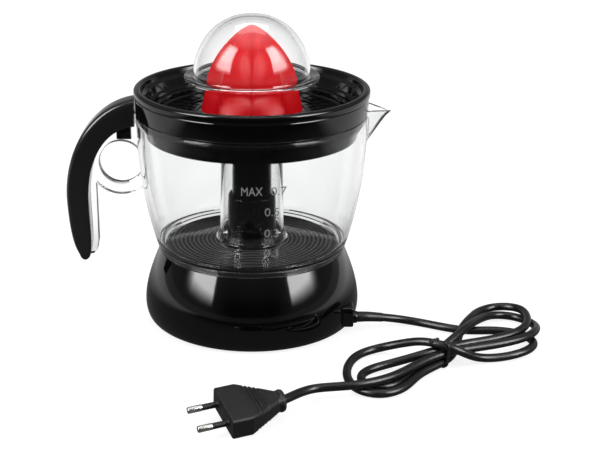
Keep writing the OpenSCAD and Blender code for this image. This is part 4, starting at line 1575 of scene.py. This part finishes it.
@dataclass
class Cord:
    """The mains cord, with listed points: gland, five runs of a hank, plug."""

    r: float = 2.8
    steps: int = 6
    body: str = "base"
    lead: tuple[Point3, ...] = (
        (73, -36, 10.4), (76, -36, 10.6), (82, -35.5, 10.4), (98.5, -27, 5.4), (116, -26.5, 2.2),
        (132, -38, 3.6), (149, -43.5, 2.8), (167, -41, 3), (186, -46.5, 2.8), (193, -63, 2.8),
        (180, -79.5, 4.4), (164, -83.5, 2.4), (146, -87, 3.6),
    )
    outer_left: tuple[Point3, ...] = (
        (132.5, -96.5, 15.2), (113.5, -87.5, 17.2), (102, -79, 11.6), (87, -70, 3.8),
        (70.5, -78, 3.2), (62.5, -93, 3.2), (59.5, -111, 3.2), (64, -129.5, 3), (81, -137, 3),
        (97, -126, 3.2), (105.5, -108.5, 3.2), (119.5, -97, 4),
    )
    far_right: tuple[Point3, ...] = (
        (132, -85, 3.8), (137.5, -66, 5), (142.5, -50, 8.8), (152, -33.5, 8.8), (159.5, -18, 6.6),
        (173.5, -8, 6.2), (190.5, -16, 8.8), (191.5, -34, 9.8), (187, -52.5, 10.2),
        (173.5, -64.5, 10), (156.5, -72, 9.6), (139.5, -76.5, 9.4),
    )
    inner_left: tuple[Point3, ...] = (
        (122.5, -88, 11.2), (108, -93.5, 9), (91, -95, 4.4), (76, -100.5, 3.2), (68, -110.5, 3.2),
        (70.5, -122.5, 3.2), (80, -127.5, 3.2), (92.5, -121.5, 3.2), (101, -106, 3),
        (114.5, -91, 3.4),
    )
    near_right: tuple[Point3, ...] = (
        (126.5, -77.5, 7.8), (139.5, -65.5, 12.4), (149, -49.5, 11.4), (157.5, -35, 8.2),
        (169, -18.5, 4.4), (187, -18, 2.8), (197, -35.5, 4.4), (194, -53, 8.4), (184, -68, 10),
        (167, -77, 10), (150, -82, 9.6), (132.5, -87.5, 9.8),
    )
    tail: tuple[Point3, ...] = (
        (116.5, -96.5, 9.6), (103, -108, 8.8), (90.5, -121.5, 9), (75, -131, 9.2), (57.5, -136, 9),
        (37.5, -133, 6.8), (25.5, -147, 9), (18.5, -157, 10.6), (12, -158.5, 10),
    )

    def route(self) -> list[Vector]:
        """The cord's centreline from the gland to the plug.

        Returns:
            The points.
        """
        return spline_points(
            self.lead + self.outer_left + self.far_right + self.inner_left + self.near_right + self.tail,
            self.steps,
        )

    def build(self, with_pieces: Sequence[bpy.types.Object]) -> None:
        """Builds the cord.

        Args:
            with_pieces: The pieces on it; not used.
        """
        route = self.route()
        line = bpy.data.curves.new("mains_cord", "CURVE")
        line.dimensions = "3D"
        line.bevel_depth = self.r * MM
        line.bevel_resolution = 6
        line.use_fill_caps = True
        spline = line.splines.new("POLY")
        spline.points.add(len(route) - 1)
        for knot, place in zip(spline.points, route):
            knot.co = (*(place * MM), 1)
        spline.use_smooth = True
        piece = place_piece(
            "mains_cord", line, self.body, CORD_BLACK, ["cord_lead", "cord_hank", "cord_tail"]
        )
        tuple(route[0] * MM)
        sum((q - p).length for p, q in zip(route, route[1:])) * MM


@dataclass
class Gland:
    """The moulded plate where the cord enters the base, with its nose."""

    y: float = -36.0
    plate_z: float = 12.05
    nose_z: float = 10.4
    root_x: float = 57.5
    face_x: float = 70.0
    nose_x: float = 72.9
    half_w: float = 6.0
    half_h: float = 7.4
    nose_r: float = 4.6
    soft: float = 1.2
    dish: float = 0.9
    body: str = "base"

    def section(
        self, x: float, half_w: float, half_h: float, square: float, drop: float = 0.0
    ) -> list[Point3]:
        """An outline across the gland.

        Args:
            x: Its place.
            half_w: Half its width.
            half_h: Half its height.
            square: 2 for an ellipse, more for squarer corners.
            drop: 0 on the plate's axis, 1 on the nose's.

        Returns:
            The outline's points.
        """
        z = self.plate_z + (self.nose_z - self.plate_z) * drop
        outline = []
        for a in turn_angles(64):
            c, s = math.cos(a), math.sin(a)
            across = math.copysign(abs(c) ** (2 / square), c) * half_w
            rise = math.copysign(abs(s) ** (2 / square), s) * half_h
            outline.append((x, self.y + across, z + rise))
        return outline

    def build(self) -> None:
        """Builds the gland."""
        w, h, x, soft = self.half_w, self.half_h, self.face_x, self.soft
        bends = [(1 - math.sin(a), 1 - math.cos(a)) for a in (math.pi / 2 * i / 5 for i in range(6))]
        plate = [(self.root_x, w, h, 7.0)]
        plate += [(x - soft * back, w - soft * trim, h - soft * trim, 7.0) for back, trim in bends]
        plate += [(x, w - 1.8, h - 2.2, 5.0), (x - self.dish, w - 2.1, h - 2.6, 4.0)]
        nose = [(x - self.dish, -0.5), (x - self.dish + 0.3, 0.0), (self.nose_x - 0.8, 0.4)]
        nose += [(self.nose_x - 0.2, 0.6), (self.nose_x, 1.0)]
        mould = Mould()
        rings = [mould.ring(self.section(*station)) for station in plate]
        for place, trim in nose:
            r = self.nose_r - trim
            rings.append(mould.ring(self.section(place, r, r, 2.0, drop=1.0)))
        mould.tube(rings).cast("gland_plate", self.body, BLACK_GLOSS, ["cord_gland"], sharp=50)


@dataclass
class Relief:
    """The soft tapered sleeve round the cord where it leaves the gland."""

    cord: Cord
    root_r: float = 3.7
    end_r: float = 3.05
    length: float = 21.0

    def build(self) -> bpy.types.Object:
        """Builds the sleeve.

        Returns:
            The sleeve.
        """
        route = self.cord.route()
        mould, rings, gone = Mould(), [], 0.0
        for p, q in zip(route, route[1:]):
            if gone > self.length:
                break
            along = (q - p).normalized()
            side = along.cross(Vector((0, 0, 1))).normalized()
            up = side.cross(along)
            r = self.root_r + (self.end_r - self.root_r) * min(gone / self.length, 1)
            rings.append(
                mould.ring([p + (side * math.cos(a) + up * math.sin(a)) * r for a in turn_angles(32)])
            )
            gone += (q - p).length
        mould.tube(rings)
        return mould.cast("cord_sleeve", self.cord.body, BLACK_MATT, ["cord_relief"], sharp=40, bevel=0.3)


@dataclass
class Tie:
    """The wire tie round the hank's five runs, its ends twisted together on top."""

    cord: Cord
    middle: Point3 = (121.8, -89.5, 9.8)
    heading: float = 42.6
    width: float = 2.5
    thick: float = 1.1
    floor: float = 0.05
    twist_length: float = 6.5
    half_twists: float = 3.5
    twist_r: float = 0.5
    wire_r: float = 0.6

    def runs(self) -> list[Point2]:
        """Where the cord's runs cross the tie, sideways and up from its middle.

        Returns:
            The places (sideways, up).
        """
        along = Matrix.Rotation(math.radians(self.heading), 3, "Z") @ Vector((1, 0, 0))
        side = Vector((-along.y, along.x, 0))
        places = [p - Vector(self.middle) for p in self.cord.route()]
        return [
            (p.dot(side), p.z)
            for p, q in zip(places, places[1:])
            if p.dot(along) * q.dot(along) <= 0 and abs(p.dot(side)) < 20
        ]

    def build(self) -> bpy.types.Object:
        """Builds the tie.

        Returns:
            The tie.
        """
        runs = self.runs()
        half, thick = self.width / 2, self.thick
        section = rounded([(-half, 0, 0.3), (-half, thick, 0.45), (half, thick, 0.45), (half, 0, 0.3)], 3)
        mould, rings = Mould(), []
        for a in turn_angles(120):
            way = Vector((math.cos(a), math.sin(a)))
            run = max((Vector(p) for p in runs), key=way.dot)
            placed = []
            for along, out in section:
                v, z = run + way * (self.cord.r + out)
                placed.append((along, v, max(z, self.floor - self.middle[2])))
            rings.append(mould.ring(placed))
        mould.skin(rings, along=True)
        self.twist(mould, max(z for _, z in runs) + self.cord.r + thick)
        turned = Matrix.Rotation(math.radians(self.heading), 4, "Z")
        mould.move(Matrix.Translation(Vector(self.middle) * MM) @ turned)
        return mould.cast("cord_wire_tie", self.cord.body, BLACK_MATT, ["cord_tie"], sharp=60)

    def twist(self, mould: Mould, top: float) -> None:
        """Adds the twisted ends, which lie back along the runs.

        Args:
            mould: The mould to add to.
            top: The height where they start, from the tie's middle.
        """
        steps = 24
        for start in (0.0, math.pi):
            rings = []
            for share in (k / steps for k in range(steps + 1)):
                angle = start + self.half_twists * math.pi * share
                sideways, drop = 1.2 + 1.6 * share, 0.3 - 0.5 * share + 1.9 * share**2
                centre = Vector((-self.twist_length * share, sideways, top - drop))
                centre += Vector((0, math.cos(angle), math.sin(angle))) * self.twist_r
                rings.append(mould.ring([centre + Vector((0, math.cos(a), math.sin(a))) * self.wire_r
                                         for a in turn_angles(12)]))
            mould.tube(rings)


@dataclass
class Plug:
    """The flat two-pin plug: body with finger grooves and collar, pin sleeves and pins."""

    place: Point3 = (17.4, -156.2, 10.2)
    turns: Point3 = (-9.0, 2.0, 201.0)
    length: float = 37.0
    block_from: float = 24.2
    neck_w: float = 12.6
    block_w: float = 35.2
    neck_t: float = 11.0
    block_t: float = 13.7
    groove_first: float = 12.4
    groove_pitch: float = 2.3
    grooves: int = 4
    groove_depth: float = 0.85
    face_soft: float = 0.9
    collar_from: float = 3.2
    pin_gap: float = 18.6
    pin_r: float = 2.05
    sleeve_l: float = 10.0
    pin_l: float = 19.0
    body: str = "base"

    def frame(self) -> Matrix:
        """From the plug's own axes, collar at the origin and pins along +X, to the model's."""
        turned = Euler([math.radians(a) for a in self.turns]).to_matrix().to_4x4()
        return Matrix.Translation(Vector(self.place) * MM) @ turned

    def section(self, x: float) -> list[Point3]:
        """The outline across the plug at x.

        Args:
            x: The distance from the collar.

        Returns:
            The outline's points.
        """
        spread = min(max((x - self.collar_from) / (self.block_from - self.collar_from), 0.0), 1.0)
        w = self.neck_w + (self.block_w - self.neck_w) * spread**0.94
        t = self.neck_t + (self.block_t - self.neck_t) * spread
        soft = 4.6 - 2.4 * spread
        phase = (x - self.groove_first) / self.groove_pitch
        if -0.5 < phase < self.grooves - 0.5:
            t -= 2 * self.groove_depth * max(math.cos(FULL_TURN * phase), 0) ** 0.7
        end = self.length - x
        if end < self.face_soft:
            trim = self.face_soft - math.sqrt(self.face_soft**2 - (self.face_soft - end) ** 2)
            w, t = w - 2 * trim, t - 2 * trim
        corners = [(y * w / 2, z * t / 2, soft) for y, z in ((1, -1), (1, 1), (-1, 1), (-1, -1))]
        return [(x, y, z) for y, z in rounded(corners, 6)]

    def shell(self) -> bpy.types.Object:
        """Builds the body with its collar.

        Returns:
            The piece.
        """
        collar = [(0.01, -1.7), (5.0, -1.7), (6.5, -1.2, 0.9), (7.1, 0.4, 0.9), (6.9, 1.5, 0.8)]
        collar += [(5.8, 2.0, 0.6), (0.01, 2.0)]
        mould = Mould().lathe(rounded(collar), 64)
        mould.move(Matrix.Rotation(math.pi / 2, 4, "Y"))
        stations = [0.4 + 0.4 * k for k in range(31)] + [12.6 + 0.2 * k for k in range(46)]
        stations = [x for x in stations if x < self.block_from - 0.5]
        stations += [self.block_from - 0.4, self.block_from, self.block_from + 0.4, 30, self.length - 1]
        stations += [self.length - self.face_soft + 0.15 * k for k in range(7)]
        mould.tube([mould.ring(self.section(x)) for x in stations])
        return mould.move(self.frame()).cast("plug_shell", self.body, PLUG_BLACK, ["plug_body"], sharp=28)

    def pins(
        self, name: str, outline: Sequence[Sequence[float]], finish: Finish, node: str
    ) -> bpy.types.Object:
        """Builds a pair of turned pieces, one on each pin's axis.

        Args:
            name: The pair's name.
            outline: Corners (r, x) of one of them.
            finish: Its finish.
            node: The CAD node it replaces.

        Returns:
            The pair.
        """
        mould = Mould()
        for side in (-1, 1):
            one = Mould().lathe(rounded(outline), 40).move(Matrix.Rotation(math.pi / 2, 4, "Y"))
            one.move(Matrix.Translation(Vector((self.length, side * self.pin_gap / 2, 0)) * MM))
            whole = bpy.data.meshes.new("one")
            one.mesh.to_mesh(whole)
            one.mesh.free()
            mould.mesh.from_mesh(whole)
            bpy.data.meshes.remove(whole)
        return mould.move(self.frame()).cast(name, self.body, finish, [node], sharp=35)

    def build(self) -> list[bpy.types.Object]:
        """Builds the plug's pieces.

        Returns:
            The pieces.
        """
        r, bare, end = self.pin_r, self.sleeve_l, self.pin_l
        tip = [(0.01, 8.0), (r - 0.25, 8.0), (r - 0.2, bare), (r, bare + 0.2, 0.1)]
        tip += [(r, end, 0.9), (0.5, end + 0.05, 0.1), (0.01, end - 0.35)]
        sleeve = [(0.01, -1.0), (r + 0.2, -1.0), (r + 0.2, 0.4, 0.3), (r - 0.15, 0.7, 0.2)]
        sleeve += [(r - 0.15, bare, 0.15), (0.01, bare)]
        return [
            self.shell(),
            self.pins("plug_tips", tip, NICKEL, "plug_pins"),
            self.pins("plug_sleeves", sleeve, BLACK_MATT, "pin_sleeves"),
        ]


# --------------------------------------------------------------------------- stage


@dataclass
class Studio:
    """The floor, the backdrop, the lamps and the camera.

    Pairs of numbers are the two ends of a ramp, over a direction in the world or a place on the floor.
    """

    focal: float = 73.62
    distance: float = 864.1
    pitch: float = 20.31
    aim_z: float = 64.8
    shift: float = 0.0802
    floor_half: float = 2500.0
    floor_grain: float = 40.0
    floor_dark: Colour = (0.30, 0.30, 0.30)
    floor_pale: Colour = (0.33, 0.33, 0.33)
    lit_z: float = 90.0
    fill: float = 0.3
    gloom: float = 0.008
    floor_glow: float = 0.85
    front_glow: float = 0.02
    near_glow: float = 0.11
    near: Point2 = (-0.45, -0.12)
    side_glow: float = 0.7
    side: Point2 = (0.18, 0.43)
    floor_edge: Point2 = (-0.1, 0.1)
    glass_dims: float = 0.85
    panel_glow: float = 12.0
    dim_panel: float = 1.5
    panel_slope: float = 0.93
    panel_inner: Point2 = (0.0, 0.03)
    panel_outer: Point2 = (-0.08, -0.3)
    panel_foot: Point2 = (0.13, 0.27)
    panel_top: Point2 = (0.85, 0.75)
    side_dusk: float = 0.14
    side_sky: Point2 = (0.4, 0.8)
    front_dusk: float = 0.15
    front_sky: Point2 = (0.2, 0.5)
    kerb: Point2 = (0.08, 0.07)
    top_glow: float = 1.0
    top_sky: Point2 = (0.8, 0.95)
    back_glow: float = 0.3
    back_sky: Point2 = (0.5, 0.8)
    back_top: Point2 = (0.36, 0.2)
    sweep_glow: float = 0.98
    sweep_back: Point2 = (0.6, 0.85)
    sweep_top: Point2 = (0.3, 0.2)
    ahead_glow: float = 0.55
    aside_glow: float = 0.25

    def camera(self) -> None:
        """Sets up the camera."""
        data = bpy.data.cameras.new("camera")
        data.sensor_width = 36.0
        data.lens = self.focal
        data.shift_x = self.shift
        data.clip_start, data.clip_end = 0.05, 20
        camera = bpy.data.objects.new("camera", data)
        bpy.context.scene.collection.objects.link(camera)
        tilt = math.radians(self.pitch)
        back, up = self.distance * math.cos(tilt), self.distance * math.sin(tilt)
        camera.location = (0, -back * MM, (self.aim_z + up) * MM)
        camera.rotation_euler = Euler((math.pi / 2 - tilt, 0, 0))
        bpy.context.scene.camera = camera

    def floor(self) -> None:
        """Lays a plain pale floor that is seen as white but for the object's shadow."""
        material = bpy.data.materials.new("floor")
        material.use_nodes = True
        recipe = Recipe(material.node_tree)
        paper = recipe.between(recipe.noise(self.floor_grain, 2), self.floor_dark, self.floor_pale)
        plain = recipe.node("BsdfDiffuse", inputs={"Color": paper})
        white = recipe.light("Emission", recipe.ray("Is Camera Ray") * self.floor_glow)
        lit = recipe.node("AddShader", inputs={0: plain, 1: white})
        glow = recipe.light("Emission", self.floor_glow_for_glass(recipe))
        mirrored = (recipe.ray("Is Glossy Ray") + recipe.ray("Is Transmission Ray")).at_most(1.0)
        recipe.finish(recipe.either(mirrored, lit, glow))
        mesh = bpy.data.meshes.new("floor")
        h = self.floor_half * MM
        mesh.from_pydata([(-h, -h, 0), (h, -h, 0), (h, h, 0), (-h, h, 0)], [], [(0, 1, 2, 3)])
        mesh.materials.append(material)
        floor = bpy.data.objects.new("floor", mesh)
        bpy.context.scene.collection.objects.link(floor)

    def floor_glow_for_glass(self, recipe: Recipe) -> Shade:
        """How bright the floor is in reflections and through clear parts.

        Args:
            recipe: The floor's tree.

        Returns:
            The strength: dim in front, pale at the sides and white behind or, seen straight, ahead.
        """
        x, y, _ = recipe.axes("Object")
        through = recipe.ray("Is Transmission Ray")
        beside = x.size()
        pale = (beside + y * 1.2).ramp(*self.side) * self.side_glow + y.ramp(*self.near) * self.near_glow
        behind = (y * 1.3 - beside).ramp(*self.floor_edge)
        ahead = (y * -1.3 - beside).ramp(*self.floor_edge)
        straight = ahead * self.ahead_glow + (1 - behind) * self.aside_glow
        beyond = behind * through * self.sweep_glow + through * self.unmirrored(recipe) * straight
        return (pale + self.front_glow) * (1 - through * self.glass_dims) + beyond

    def unmirrored(self, recipe: Recipe) -> Shade:
        """1 for a ray that no surface has mirrored yet, else 0."""
        return 1 - recipe.ray("Glossy Depth").above(0.5)

    def world(self) -> None:
        """Sets the world: white for the camera, a dark studio in reflections, soft fill for the rest."""
        world = bpy.data.worlds.new("studio")
        bpy.context.scene.world = world
        world.use_nodes = True
        recipe = Recipe(world.node_tree)
        x, y, z = recipe.axes("Generated")
        beside = x.size()
        panel = (beside + y * self.panel_slope).ramp(*self.panel_inner) * y.ramp(*self.panel_outer)
        panel = panel * z.ramp(*self.panel_foot) * z.ramp(*self.panel_top)
        dusk = beside.ramp(*self.side_sky) * self.side_dusk + z.ramp(*self.front_sky) * self.front_dusk
        kerb = z.ramp(*self.kerb) * self.near_glow
        studio = dusk + kerb + z.ramp(*self.top_sky) * self.top_glow + self.gloom
        back = y.ramp(*self.back_sky) * self.back_glow * z.ramp(*self.back_top)
        ahead = y.ramp(*(-end for end in self.sweep_back)) * self.ahead_glow
        straight = (ahead + y.ramp(*reversed(self.sweep_back)) * self.aside_glow) * self.unmirrored(recipe)
        sweep = (y.ramp(*self.sweep_back) * self.sweep_glow + straight) * z.ramp(*self.sweep_top)
        white = recipe.light("Background", 1.0)
        mirrored = recipe.light("Background", studio + panel**2 * self.panel_glow + back)
        shining = recipe.light("Background", studio + panel * self.dim_panel + sweep)
        lit = recipe.either(recipe.ray("Is Glossy Ray"), recipe.light("Background", self.fill), mirrored)
        lit = recipe.either(recipe.ray("Is Transmission Ray"), lit, shining)
        recipe.finish(recipe.either(recipe.ray("Is Camera Ray"), lit, white), "OutputWorld")

    def lamp(
        self, name: str, azimuth: float, elevation: float, away: float, size: Point2, power: float
    ) -> None:
        """Hangs a soft box that faces the object and isn't mirrored in it.

        Args:
            name: The lamp's name.
            azimuth: Degrees from the front, towards +X.
            elevation: Degrees above the floor.
            away: Distance in metres.
            size: Width and height in metres.
            power: Watts.
        """
        data = bpy.data.lights.new(name, "AREA")
        data.shape = "RECTANGLE"
        data.size, data.size_y = size
        data.energy = power
        lamp = bpy.data.objects.new(name, data)
        lamp.visible_glossy = False
        bpy.context.scene.collection.objects.link(lamp)
        a, e = math.radians(azimuth), math.radians(elevation)
        way = Vector((math.sin(a) * math.cos(e), -math.cos(a) * math.cos(e), math.sin(e)))
        lamp.location = Vector((0, 0, self.lit_z * MM)) + way * away
        lamp.rotation_euler = way.to_track_quat("Z", "Y").to_euler()

    def build(self) -> None:
        """Builds the stage."""
        bpy.context.scene.view_settings.view_transform = "Standard"
        self.floor()
        self.world()
        self.lamp("softbox_left", -62, 42, 1.25, (0.45, 0.6), 5)
        self.lamp("softbox_right", 58, 42, 1.25, (0.45, 0.6), 5)
        self.lamp("softbox_top", 180, 70, 1.3, (0.9, 0.7), 6)


def main() -> None:
    """Builds the model and reports each piece."""
    logging.basicConfig(level=logging.INFO, format="%(name)s: %(message)s")
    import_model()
    studio = Studio()
    studio.camera()
    cord = Cord()
    cord.build([Relief(cord).build(), Tie(cord).build(), *Plug().build()])
    studio.build()
    Base().build()
    Gland().build()
    DriveTrain().build()
    Jug().build()
    Handle().build()
    Bowl().build()
    Cone().build()
    DustCover().build()


if __name__ == "__main__":
    main()
